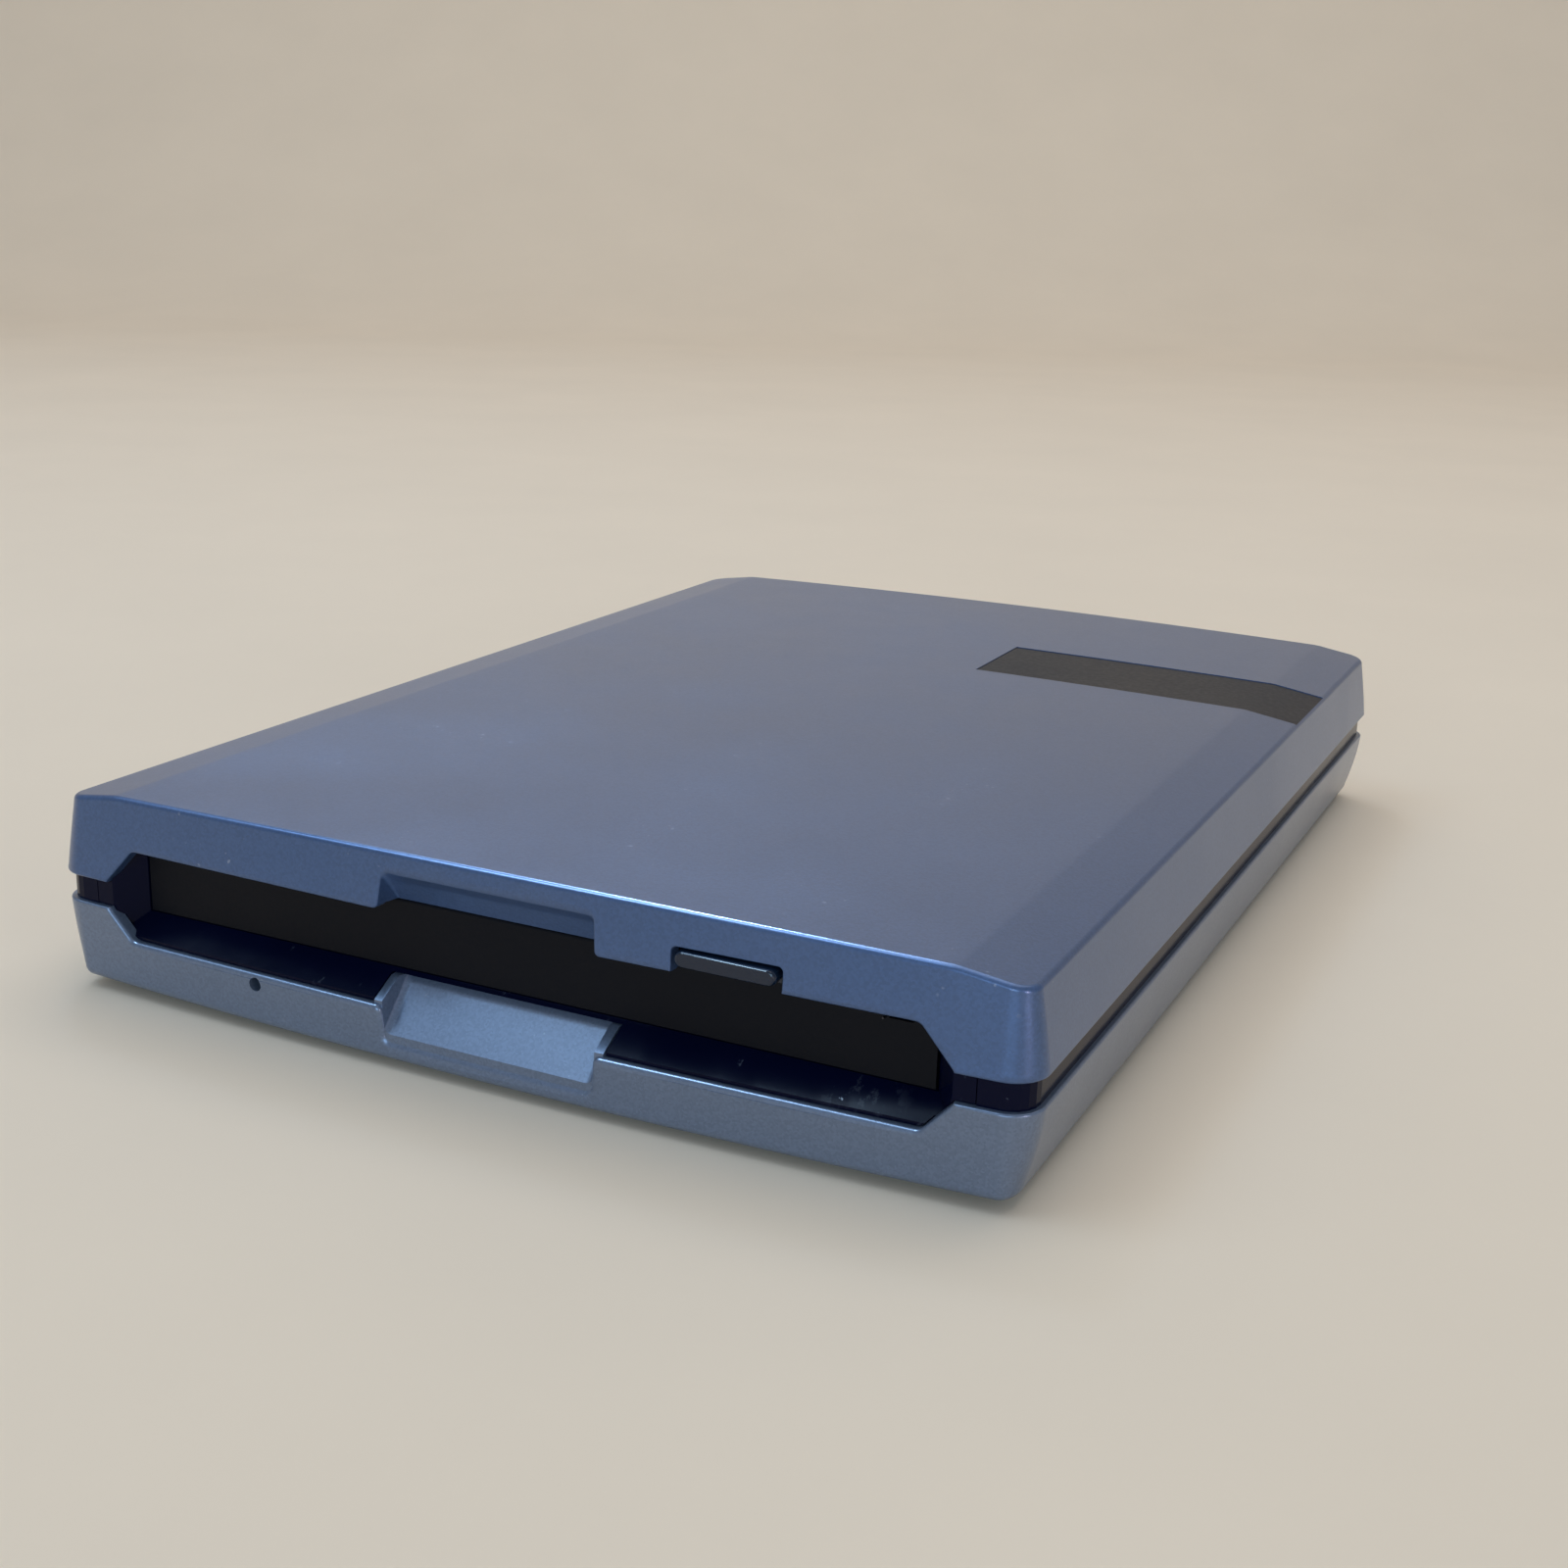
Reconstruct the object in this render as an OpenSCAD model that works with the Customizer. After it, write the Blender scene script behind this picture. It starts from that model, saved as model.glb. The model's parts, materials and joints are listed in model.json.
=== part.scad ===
// External magneto-optical disk drive for 90 mm cartridges, in a two-shell case.
// +Z is up, the front mouth faces -Y, and the origin is under the middle, on the table.

/* [Case] */
// Width of the case across its widest line
case_w = 112; // [111:0.5:118]
// Depth of the case from front to back on the middle line
case_d = 153.6; // [153:0.5:165]
// Height from the table to the middle of the top
case_h = 23.1; // [23:0.1:26]
// Height that the feet stand out below the lower shell
foot_h = 0.8; // [0.6:0.1:1]
// Wall thickness of both shells
wall = 1.5; // [1.3:0.1:1.7]
// Radius of the upright corners in plan
corner_r = 3.5; // [3.4:0.1:4.5]
// Height of the lower shell's rim above the table
rim_z = 10.2; // [10:0.1:10.6]
// Height of the dark groove between the two shells
groove_h = 2.9; // [2.7:0.1:3.2]
// How far the dark frame lies behind the faces of the shells
groove_depth = 0.75; // [0.5:0.05:1]

/* [Case curves] */
// How much lower the top lies at its sides than on its middle line
top_crown = 0.73; // [0.4:0.01:0.9]
// Width of the sloping shoulder on each side of the top
shoulder_w = 8.3; // [7:0.1:9]
// Fall of the shoulder from its inner to its outer edge
shoulder_drop = 1.1; // [0.8:0.05:1.3]
// How much higher the bottom lies at its sides than on its middle line
bottom_crown = 0.46; // [0.2:0.01:0.5]
// How far the middle of the front stands out before its ends
front_bow = 1.5; // [1:0.1:1.8]
// How far the middle of the back stands out behind its ends
back_bow = 0.5; // [0.2:0.1:0.8]
// How far the upper walls lean in by their top edge
upper_lean = 1.15; // [0.8:0.05:1.3]
// How far the lower side walls tuck in by their bottom edge
lower_tuck = 1.5; // [1:0.1:1.6]
// How far the lower front and back walls lean in by their bottom edge
lower_lean = 0.55; // [0.3:0.05:0.8]
// Step of the lower rim behind the upper one
rim_step = 0.15; // [0.1:0.05:0.3]
// Fillet radius round the top edge
top_edge_r = 0.6; // [0.4:0.1:0.8]
// Fillet radius round the bottom edge
bottom_edge_r = 1.1; // [0.8:0.1:1.3]

/* [Cartridge] */
// Width of the disk cartridge
cart_w = 90; // [88:0.5:90.5]
// Length of the disk cartridge
cart_l = 94; // [92:0.5:95]
// Thickness of the disk cartridge
cart_t = 6; // [5.8:0.1:6]
// How far the loaded cartridge is lowered onto the spindle
load_drop = 2; // [1.8:0.1:2]

/* [Mouth] */
// Width of the mouth at its straight upper edge
mouth_w = 89.8; // [88:0.1:91]
// How much wider the mouth is at the groove, on each side
mouth_flare = 3.6; // [3:0.1:4]
// Rise of the mouth's upper edge above the upper shell's rim
mouth_rise = 3.9; // [3.8:0.1:4.2]
// Drop of the mouth's lower edge below the lower shell's rim
mouth_drop = 3.4; // [3.2:0.1:3.5]
// Rise of the funnel floor from the mouth's lower edge to the slot
funnel_rise = 2.5; // [2.4:0.1:2.6]
// Depth of the door behind the middle of the front
door_depth = 4.8; // [4.7:0.1:5.2]
// Thickness of the door
door_t = 0.9; // [0.7:0.1:1]
// Half of the width of the finger grips at the mouth's edges
grip_half_w = 12.8; // [10:0.1:14]
// Height of the finger grips above and below the mouth
grip_h = 3.2; // [2.8:0.1:3.4]
// Depth of the finger grips behind the front
grip_depth = 4.6; // [4.4:0.1:5]

/* [Eject button] */
// Width of the eject button
button_w = 10.4; // [9:0.1:11]
// Height of the eject button
button_h = 1.6; // [1.4:0.1:1.8]
// Place of the button's middle to the right of the middle line
button_x = 26.1; // [24:0.1:28]
// Travel of the button
button_travel = 0.6; // [0.4:0.1:0.7]
// Place of the manual release hole to the left of the middle line
release_x = 28.4; // [26:0.1:30]
// Diameter of the manual release hole
release_d = 1.5; // [1.2:0.1:1.6]

/* [Mechanism] */
// Travel of the cam slide that lowers the cartridge holder
slide_travel = 6; // [5.5:0.1:6]
// Module of the gear teeth
tooth_module = 0.5; // [0.48:0.01:0.5]
// Number of teeth of the worm wheel
wheel_teeth = 20; // [18:2:20]
// Number of teeth of the pinion on the worm wheel
pinion_teeth = 20; // [18:1:20]
// Smallest radius that the objective lens reads
lens_near = 23.5; // [23:0.1:24]
// Radial travel of the objective lens
lens_travel = 17.5; // [16:0.1:18]
// Diameter of the guide rails of the optical head
rail_d = 1.6; // [1.4:0.1:1.8]
// Focus travel of the lens to each side of rest
focus_travel = 0.3; // [0.2:0.05:0.35]

/* [Hidden] */
$fn = 48;

// Overrun of every cut past the face that it opens
over = 1;
// Clearance between a piece and what it drops into
fit = 0.2;
// Radial running clearance of shafts and pins in their bores
run = 0.05;
// Least gap kept between pieces that move past each other
gap = 0.3;

// Shell colours
shell_colour = [0.43, 0.46, 0.53];
black_plastic = [0.05, 0.05, 0.055];
smoke_plastic = [0.22, 0.23, 0.22];
rubber = [0.09, 0.09, 0.09];
steel = [0.72, 0.73, 0.75];
zinc = [0.62, 0.62, 0.6];
board_green = [0.05, 0.3, 0.16];
copper = [0.72, 0.42, 0.2];
brass = [0.78, 0.62, 0.3];
magnet_grey = [0.3, 0.3, 0.32];
nylon = [0.88, 0.87, 0.82];

half_w = case_w / 2;
half_d = case_d / 2;
upper_z = rim_z + groove_h;

// Heights of the cartridge path, from the mouth inwards
mouth_lo = rim_z - mouth_drop;
mouth_hi = upper_z + mouth_rise;
mouth_groove_w = mouth_w + mouth_flare * 2;
slot_lo = mouth_lo + funnel_rise;
slot_gap = 0.5;
cart_z = slot_lo + slot_gap;
cart_top = cart_z + cart_t;

// Sheet metal of the mechanism
sheet = 0.6;
deck_t = 1;
deck_gap = 1.6;
deck_z = cart_z - load_drop - deck_gap;
deck_low = deck_z - deck_t;
cover_rise = 3.2;
cover_z = cart_top + cover_rise;

// Places along the depth, from the front inwards
door_y = door_depth - half_d;
hinge_y = door_y + door_t / 2;
cart_play = 0.6;
cart_y = door_y + door_t + cart_play;
cart_end = cart_y + cart_l;
hub_back = 46;
spindle_y = cart_end - hub_back;
lens_y = spindle_y + lens_near;
chassis_l = 121;
chassis_set = 8;
chassis_y = door_y + chassis_set;
chassis_end = chassis_y + chassis_l;

// Half widths, from the cartridge outwards
cart_side_play = 0.4;
holder_in = cart_w / 2 + cart_side_play;
holder_out = holder_in + sheet;
slide_gap = 1.2;
slide_in = holder_out + slide_gap;
slide_t = 0.8;
slide_out = slide_in + slide_t;
chassis_gap = 1.2;
wall_in = slide_out + chassis_gap;
chassis_out = wall_in + deck_t;

// A box between two places on each axis
module span(x, y, z)
    translate([x[0], y[0], z[0]])
        cube([x[1] - x[0], y[1] - y[0], z[1] - z[0]]);

// A rod along X or Y from a point
module rod_x(p, r, l) translate(p) rotate([0, 90, 0]) cylinder(r = r, h = l);
module rod_y(p, r, l) translate(p) rotate([-90, 0, 0]) cylinder(r = r, h = l);
module rod_z(p, r, l) translate(p) cylinder(r = r, h = l);

// Copies on both sides of the middle plane
module both_sides() {
    children();
    mirror([1, 0, 0]) children();
}

// A polygon with each corner rounded by an arc
round_steps = 4;
function unit(v) = v / norm(v);
function rounded(points, r) = [
    for (i = [0 : len(points) - 1])
        let (n = len(points))
        let (p = points[i], a = points[(i + n - 1) % n], b = points[(i + 1) % n])
        let (u = unit(a - p), v = unit(b - p))
        let (half = acos(u * v) / 2, reach = r / tan(half))
        let (centre = p + unit(u + v) * r / sin(half))
        let (s = p + u * reach - centre, e = p + v * reach - centre)
        for (k = [0 : round_steps])
            let (w = k / round_steps, turn = 180 - 2 * half)
            centre + (s * sin((1 - w) * turn) + e * sin(w * turn)) / sin(turn)];

// A flat outline in XZ pushed through along +Y from y0
module prism_y(points, y0, l)
    translate([0, y0 + l, 0])
        rotate([90, 0, 0])
            linear_extrude(l)
                polygon(points);

// A closed skin over rings of equal length, each seen anticlockwise from the last ring's side
module skin(rings) {
    m = len(rings[0]);
    last = (len(rings) - 1) * m;
    sides = [
        for (k = [0 : len(rings) - 2], i = [0 : m - 1])
            let (a = k * m + i, b = k * m + (i + 1) % m)
            each [[a, a + m, b], [b, a + m, b + m]]];
    first_cap = [[for (i = [0 : m - 1]) i]];
    last_cap = [[for (i = [m - 1 : -1 : 0]) last + i]];
    polyhedron(points = [for (r = rings) each r], faces = concat(sides, first_cap, last_cap));
}

// The case is a loft of level rings. Each ring has columns that share one x at front and back.
arc_steps = 5;
flat_steps = 5;
side_steps = 5;
edge_steps = 3;
corner_x = half_w - corner_r;
shoulder_x = half_w - shoulder_w;
shoulder_slope = shoulder_drop / (shoulder_w - upper_lean);
flat_x = [for (i = [-flat_steps : flat_steps]) shoulder_x * i / flat_steps];
arc_angle = [for (i = [0 : arc_steps]) 90 * i / arc_steps];
column_angle = concat(arc_angle, [for (x = flat_x) 90], [for (a = arc_angle) 90 - a]);

function crown_at(x) = top_crown * pow(x / half_w, 2);
function top_z(x) =
    let (u = abs(x))
    u <= shoulder_x
        ? case_h - crown_at(u)
        : case_h - crown_at(shoulder_x) - (u - shoulder_x) * shoulder_slope;
function bottom_z(x) = foot_h + bottom_crown * pow(x / half_w, 2);
function bow(size, x) = size * pow(x / half_w, 2);

// A level is its share of the way from the rim to the end, its shift in z at the end,
// and its insets at the sides, front and back
function column_x(inset) =
    let (arc = [for (a = arc_angle) corner_x + max(corner_r - inset, run) * cos(a)])
    concat([for (x = arc) -x], flat_x, [for (i = [arc_steps : -1 : 0]) arc[i]]);
function front_y(x, a, inset) =
    corner_r - half_d + bow(front_bow, x) - max(corner_r - inset, run) * sin(a);
function back_y(x, a, inset) =
    half_d - corner_r - bow(back_bow, x) + max(corner_r - inset, run) * sin(a);
function ring(level, rim, end) =
    let (xs = column_x(level[2]), n = len(xs))
    let (zs = [for (x = xs) rim + level[0] * (end(x) + level[1] - rim)])
    concat(
        [for (j = [0 : n - 1]) [xs[j], front_y(xs[j], column_angle[j], level[3]), zs[j]]],
        [for (j = [n - 1 : -1 : 0]) [xs[j], back_y(xs[j], column_angle[j], level[4]), zs[j]]]);

// A closed solid through rings listed from the lowest to the highest
module case_loft(rings) {
    m = len(rings[0]);
    n = m / 2;
    last = (len(rings) - 1) * m;
    sides = [
        for (k = [0 : len(rings) - 2], i = [0 : m - 1])
            let (a = k * m + i, b = k * m + (i + 1) % m)
            each [[a, a + m, b], [b, a + m, b + m]]];
    low_cap = [for (j = [0 : n - 2]) [j, j + 1, m - 2 - j, m - 1 - j]];
    high_cap = [for (q = low_cap) [for (i = [3 : -1 : 0]) last + q[i]]];
    polyhedron(points = [for (r = rings) each r], faces = concat(sides, low_cap, high_cap));
}
function flipped(list) = [for (i = [len(list) - 1 : -1 : 0]) list[i]];

upper_power = 1.25;
lower_power = 1.6;
function upper_level(t, out, dz) =
    [t, dz, out + upper_lean * pow(max(t, 0), upper_power),
        out + upper_lean * max(t, 0), out + upper_lean * max(t, 0)];
function lower_level(t, out, dz) =
    [t, dz, out + rim_step + lower_tuck * pow(max(t, 0), lower_power),
        out + rim_step + lower_lean * max(t, 0), out + rim_step + lower_lean * max(t, 0)];
top_end = function(x) top_z(x);
bottom_end = function(x) bottom_z(x);

// Rings of the outer faces, from the rim to the filleted edge
upper_rings = concat(
    [for (i = [0 : side_steps]) ring(upper_level(i / side_steps, 0, -top_edge_r), upper_z, top_end)],
    [for (i = [1 : edge_steps])
        let (a = 90 * i / edge_steps)
        ring(upper_level(1, top_edge_r * (1 - cos(a)), -top_edge_r * (1 - sin(a))),
            upper_z, top_end)]);
lower_rings = concat(
    [for (i = [0 : side_steps]) ring(lower_level(i / side_steps, 0, bottom_edge_r), rim_z, bottom_end)],
    [for (i = [1 : edge_steps])
        let (a = 90 * i / edge_steps)
        ring(lower_level(1, bottom_edge_r * (1 - cos(a)), bottom_edge_r * (1 - sin(a))),
            rim_z, bottom_end)]);

// Rings of the hollow inside a shell, inset from the outer faces
hollow_share = [-0.15, 0, 0.5, 1];
function upper_hollow(inset) =
    [for (t = hollow_share) ring(upper_level(t, inset, -inset), upper_z, top_end)];
function lower_hollow(inset) =
    [for (t = hollow_share) ring(lower_level(t, inset, inset), rim_z, bottom_end)];

// Rings of a band in the groove, at one inset all round
upper_end = function(x) upper_z;
function groove_rings(inset, share) =
    [for (t = share) ring([t, 0, inset, inset, inset], rim_z, upper_end)];

// Outline of the mouth, seen from the front, drawn in by an inset
mouth_corner_r = 1.2;
mouth_side_drop = mouth_drop * mouth_flare / mouth_rise;
function mouth_shape(inset) =
    let (groove = mouth_groove_w / 2 - inset, top = mouth_w / 2 - inset)
    let (low = mouth_lo + inset, high = mouth_hi - inset)
    rounded([
        [-groove, rim_z], [mouth_side_drop - groove, low],
        [groove - mouth_side_drop, low], [groove, rim_z],
        [groove, upper_z], [top, high],
        [-top, high], [-groove, upper_z]], mouth_corner_r);
module mouth_cut() prism_y(mouth_shape(0), -half_d - over, door_depth);

// Finger grips: wedges that run from the front face to the mouth's edge
grip_taper = 0.7;
grip_round = 0.8;
grip_back_y = grip_depth - half_d;
upper_grip_top = mouth_hi + grip_h;
lower_grip_low = mouth_lo - grip_h;
upper_grip_slope = 1;
lower_grip_slope = 1.1;
grip_face = 0.9;
function grip_section(y, far, near) = [
    for (p = rounded([
        [-grip_half_w, near],
        [grip_taper - grip_half_w, far],
        [grip_half_w - grip_taper, far],
        [grip_half_w, near]], grip_round)) [p[0], y, p[1]]];
function upper_grip_far(y) = upper_grip_top - upper_grip_slope * (y + half_d - grip_face);
function lower_grip_far(y) = lower_grip_low + lower_grip_slope * (y + half_d - grip_face);
module upper_grip_cut() {
    front = -half_d - over;
    skin([
        grip_section(front, upper_grip_far(front), mouth_hi - grip_h),
        grip_section(grip_back_y, upper_grip_far(grip_back_y), mouth_hi - grip_h)]);
}
module lower_grip_cut() {
    front = -half_d - over;
    back = grip_back_y + wall;
    skin([
        grip_section(back, lower_grip_far(back), rim_z + grip_h),
        grip_section(front, lower_grip_far(front), rim_z + grip_h)]);
}

// Blocks behind the front walls that back the finger grips
grip_block_x = grip_half_w + wall;
grip_block_back = grip_back_y + wall;
grip_block_front = upper_lean + wall / 2 - half_d;
upper_block_z = mouth_hi + gap;
lower_block_z = [foot_h + (wall + bottom_crown) / 2, mouth_lo - fit];
tongue_side = 0.5;
tongue_x = grip_half_w + tongue_side;
tongue_top = slot_lo - slot_gap;
module upper_grip_block(extra)
    span([-grip_block_x - extra, grip_block_x + extra],
        [grip_block_front, grip_block_back + extra],
        [upper_block_z - extra, case_h - wall / 2 - crown_at(grip_block_x)]);
module lower_grip_block(extra)
    span([-grip_block_x - extra, grip_block_x + extra],
        [grip_block_front, grip_block_back + extra],
        [lower_block_z[0], lower_block_z[1] + extra]);
module lower_grip_tongue(extra)
    span([-tongue_x - extra, tongue_x + extra],
        [funnel_front + run - extra, grip_block_back + extra],
        [lower_block_z[0], tongue_top + extra]);

// The button's window in the upper front wall
button_rise = 0.7;
button_lo = mouth_hi + button_rise;
button_z = button_lo + button_h / 2;
window_gap = 0.4;
window_round = 0.5;
button_window = rounded([
    [button_x - button_w / 2 - window_gap, mouth_hi - button_h],
    [button_x + button_w / 2 + window_gap, mouth_hi - button_h],
    [button_x + button_w / 2 + window_gap, button_lo + button_h + window_gap / 2],
    [button_x - button_w / 2 - window_gap, button_lo + button_h + window_gap / 2]],
    window_round);
module button_cut() prism_y(button_window, -half_d - over, door_depth);

// Case screws and the posts that they hold together
case_screw_r = 1;
case_head_r = 1.9;
case_head_h = 1.4;
case_post_r = 2.4;
case_post_side = 5.8;
case_post_x = half_w - case_post_side;
case_post_front = 6.3;
case_post_back = 7;
case_post_y = [case_post_front - half_d, half_d - case_post_back];
case_post_split = rim_z + groove_h / 2;
case_head_seat = 0.4;
case_head_z = foot_h + wall + bottom_crown + case_head_seat;
case_screw_l = 12;
upper_post_top = top_z(case_post_x + case_post_r) - wall / 2;
module at_case_posts()
    both_sides()
        for (y = case_post_y)
            translate([case_post_x, y, 0])
                children();

// Posts of the drive inside the lower shell
drive_post_x = 39.5;
drive_post_front = 10;
drive_post_back = 7;
drive_post_y = [chassis_y + drive_post_front, chassis_end - drive_post_back];
drive_post_r = 2.6;
damper_h = 1.2;
drive_post_top = deck_low - damper_h;
drive_screw_r = 1;
drive_head_r = 2.1;
drive_head_h = 0.6;
module at_drive_posts()
    both_sides()
        for (y = drive_post_y)
            translate([drive_post_x, y, 0])
                children();

// Rear board, its posts and the two sockets
board_t = 1;
board_gap = 0.7;
board_z = deck_low - board_gap - board_t;
rear_board_w = 52;
rear_board_l = 13.5;
rear_board_gap = 1;
rear_board_end = half_d - wall - upper_lean - rear_board_gap;
rear_board_y = rear_board_end - rear_board_l;
rear_post_r = 2;
rear_post_x = rear_board_w / 2 - rear_post_r - fit;
rear_post_y = rear_board_y + rear_post_r + fit;
rear_screw_r = 0.8;
rear_head_r = 1.6;
rear_head_h = 0.7;
usb_w = 7.7;
usb_h = 3.9;
usb_l = 9.2;
usb_x = -13;
dc_x = 12;
dc_w = 7;
dc_h = 4.8;
dc_l = 10.5;
dc_hole_r = 2.1;
dc_z = board_z + board_t + dc_h / 2;
socket_end = half_d - wall / 2;
socket_gap = 0.35;
usb_corner = 0.8;
function usb_outline(grow) =
    let (z0 = board_z + board_t - grow, z1 = board_z + board_t + usb_h + grow)
    let (a = usb_w / 2 + grow, b = usb_w / 2 + grow - usb_corner)
    [[usb_x - a, z1], [usb_x - a, z0 + usb_corner], [usb_x - b, z0],
        [usb_x + b, z0], [usb_x + a, z0 + usb_corner], [usb_x + a, z1]];

// Feet
foot_r = 5;
foot_sink = 0.7;
foot_x = 41;
foot_in = 15;
module at_feet()
    both_sides()
        for (y = [foot_in - half_d, half_d - foot_in])
            translate([foot_x, y, 0])
                children();

// The dark plate let into the top at the back right
label_left = 10.2;
label_side = 0.3;
label_x = [label_left, half_w - upper_lean - label_side];
label_back = 30.8;
label_l = 16.8;
label_y = half_d - label_back - label_l;
label_sink = 0.6;
label_proud = 0.1;
label_steps = 6;
label_bend = concat(
    [for (i = [0 : label_steps]) label_x[0] + (shoulder_x - label_x[0]) * i / label_steps],
    [label_x[1]]);
function label_profile(high, low) = concat(
    [for (x = label_bend) [x, top_z(x) - low]],
    [for (x = flipped(label_bend)) [x, top_z(x) - high]]);

module upper_shell() color(shell_colour) {
    difference() {
        union() {
            difference() {
                case_loft(upper_rings);
                case_loft(upper_hollow(wall));
            }
            upper_grip_block(0);
            at_case_posts()
                rod_z([0, 0, case_post_split], case_post_r, upper_post_top - case_post_split);
        }
        mouth_cut();
        upper_grip_cut();
        button_cut();
        prism_y(label_profile(-over, label_sink), label_y, label_l);
        at_case_posts()
            rod_z([0, 0, case_post_split - over], case_screw_r + run,
                case_screw_l + case_head_z - case_post_split + over);
    }
}

module lower_shell() color(shell_colour) {
    post_root = foot_h + wall / 2 + bottom_crown;
    difference() {
        union() {
            difference() {
                union() {
                    difference() {
                        case_loft(flipped(lower_rings));
                        case_loft(flipped(lower_hollow(wall)));
                    }
                    lower_grip_block(0);
                    at_case_posts()
                        rod_z([0, 0, post_root], case_post_r, case_post_split - post_root);
                }
                mouth_cut();
            }
            difference() {
                lower_grip_tongue(0);
                funnel_cut();
            }
            at_drive_posts()
                rod_z([0, 0, post_root], drive_post_r, drive_post_top - post_root);
            both_sides()
                rod_z([rear_post_x, rear_post_y, post_root], rear_post_r, board_z - post_root);
        }
        lower_grip_cut();
        rod_y([-release_x, -half_d - over, release_z], release_d / 2, door_depth);
        at_case_posts() {
            rod_z([0, 0, 0], case_screw_r + run, case_post_split + over);
            rod_z([0, 0, 0], case_head_r + fit, case_head_z);
        }
        at_drive_posts()
            rod_z([0, 0, post_root + wall / 2], drive_screw_r + run, case_h);
        both_sides()
            rod_z([rear_post_x, rear_post_y, post_root + wall / 2], rear_screw_r + run, case_h);
        at_feet()
            rod_z([0, 0, 0], foot_r + fit, foot_h + foot_sink);
        prism_y(usb_outline(socket_gap), half_d - wall * 2 - lower_lean, wall * 3);
        rod_y([dc_x, half_d - wall * 2 - lower_lean, dc_z], dc_hole_r + socket_gap, wall * 3);
    }
}
release_drop = 1.15;
release_z = mouth_lo - release_drop;

// Dark frame between the shells, open at the front where the bezel fills the groove
frame_w = 1.8;
frame_past = 1.9;
frame_front_x = mouth_groove_w / 2 + frame_past;
groove_all = [0, 1];
groove_past = [-0.3, 1.3];
module mid_frame() color(black_plastic) {
    difference() {
        case_loft(groove_rings(groove_depth, groove_all));
        case_loft(groove_rings(groove_depth + frame_w, groove_past));
        span([-frame_front_x, frame_front_x], [-half_d - over, door_y], [0, case_h]);
    }
}

// Bezel: the black funnel round the slot, the frame of the door and the button's guide
bezel_gap = 0.1;
bezel_depth = 3.6;
bezel_back = door_y + bezel_depth;
bezel_lap = 1.2;
bezel_z = [mouth_lo - bezel_lap, mouth_hi + bezel_lap];
window_play = 0.8;
window_x = cart_w / 2 + window_play;
bezel_side = 1.8;
bezel_x = window_x + bezel_side;
slot_hi = mouth_hi + fit / 2;
hinge_drop = 0.55;
hinge_z = mouth_hi - hinge_drop;
hinge_pin_r = 0.4;
hinge_pin_l = 1.3;
door_half_w = window_x - gap;
guide_half_w = 7.6;
guide_x = [button_x - guide_half_w, button_x + guide_half_w];
guide_rise = 2.1;
guide_top = button_z + guide_rise;
guide_set = 0.8;
guide_y = door_y + guide_set;
stem_r = 1.1;
funnel_flare = 2.2;
funnel_edge = 0.35;
funnel_shares = [-1, -0.8, -0.6, -0.4, -0.2, 0, 0.2, 0.4, 0.6, 0.8, 1];
// A section is drawn at a share of the way from the door to the bowed front edge
module funnel_cut() {
    function section(w) =
        let (wide = window_x + funnel_flare * w)
        let (z = slot_lo + (mouth_lo + funnel_edge - slot_lo) * w)
        let (back = function(x) door_y + (funnel_front + bow(front_bow, x) - door_y) * w)
        concat(
            [for (s = funnel_shares) [s * wide, back(s * wide), z]],
            [for (s = flipped(funnel_shares)) [s * wide, back(s * wide), slot_hi]]);
    skin([section(0), section(1), section(1 + over / door_depth)]);
    span([-window_x, window_x], [door_y - over, bezel_back + over], [slot_lo, slot_hi]);
}
bezel_edge = 0.8;
funnel_front = bezel_edge + rim_step - half_d;
module front_bezel() color(black_plastic) {
    difference() {
        union() {
            intersection() {
                union() {
                    case_loft(upper_hollow(wall + bezel_gap));
                    case_loft(flipped(lower_hollow(wall + bezel_gap)));
                    case_loft(groove_rings(wall + rim_step + bezel_gap, groove_all));
                }
                union() {
                    span([-bezel_x, bezel_x], [-half_d, bezel_back], bezel_z);
                    span(guide_x, [-half_d, bezel_back], [mouth_hi, guide_top]);
                }
            }
            intersection() {
                union() {
                    case_loft(upper_hollow(bezel_edge));
                    case_loft(flipped(lower_hollow(bezel_edge)));
                    case_loft(groove_rings(bezel_edge + rim_step, groove_all));
                }
                prism_y(mouth_shape(bezel_gap), -half_d, case_post_front - case_post_r);
            }
            intersection() {
                case_loft(groove_rings(groove_depth, groove_all));
                both_sides()
                    span([mouth_w / 2, frame_front_x - bezel_gap],
                        [-half_d, case_post_y[0] - case_post_r - gap],
                        [rim_z + bezel_gap, upper_z - bezel_gap]);
            }
            for (x = post_places)
                rod_y([x, bezel_back - over, (front_board_z[0] + front_board_z[1]) / 2],
                    stud_r, stud_l + over);
        }
        funnel_cut();
        upper_grip_block(fit);
        upper_grip_cut();
        lower_grip_block(fit);
        lower_grip_tongue(fit);
        span([guide_x[0] + wall, guide_x[1] - wall], [-half_d, guide_y],
            [slot_hi - over, guide_top + over]);
        rod_y([button_x, guide_y - over, button_z], stem_r + run, case_d / 2);
        rod_x([-window_x - hinge_pin_l, hinge_y, hinge_z], hinge_pin_r + run,
            window_x * 2 + hinge_pin_l * 2);
        rod_y([-release_x, -half_d, release_z], release_d / 2 + fit, door_depth * 2);
        span([spring_x - fit, spring_x + spring_w + fit], [door_y - fit, bezel_back + over],
            [slot_hi - over, hinge_z + spring_room]);
    }
}
stud_r = 0.9;
post_places = [guide_x[0] + stud_r + fit, guide_x[1] - stud_r - fit];
stud_l = 1.8;

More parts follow.
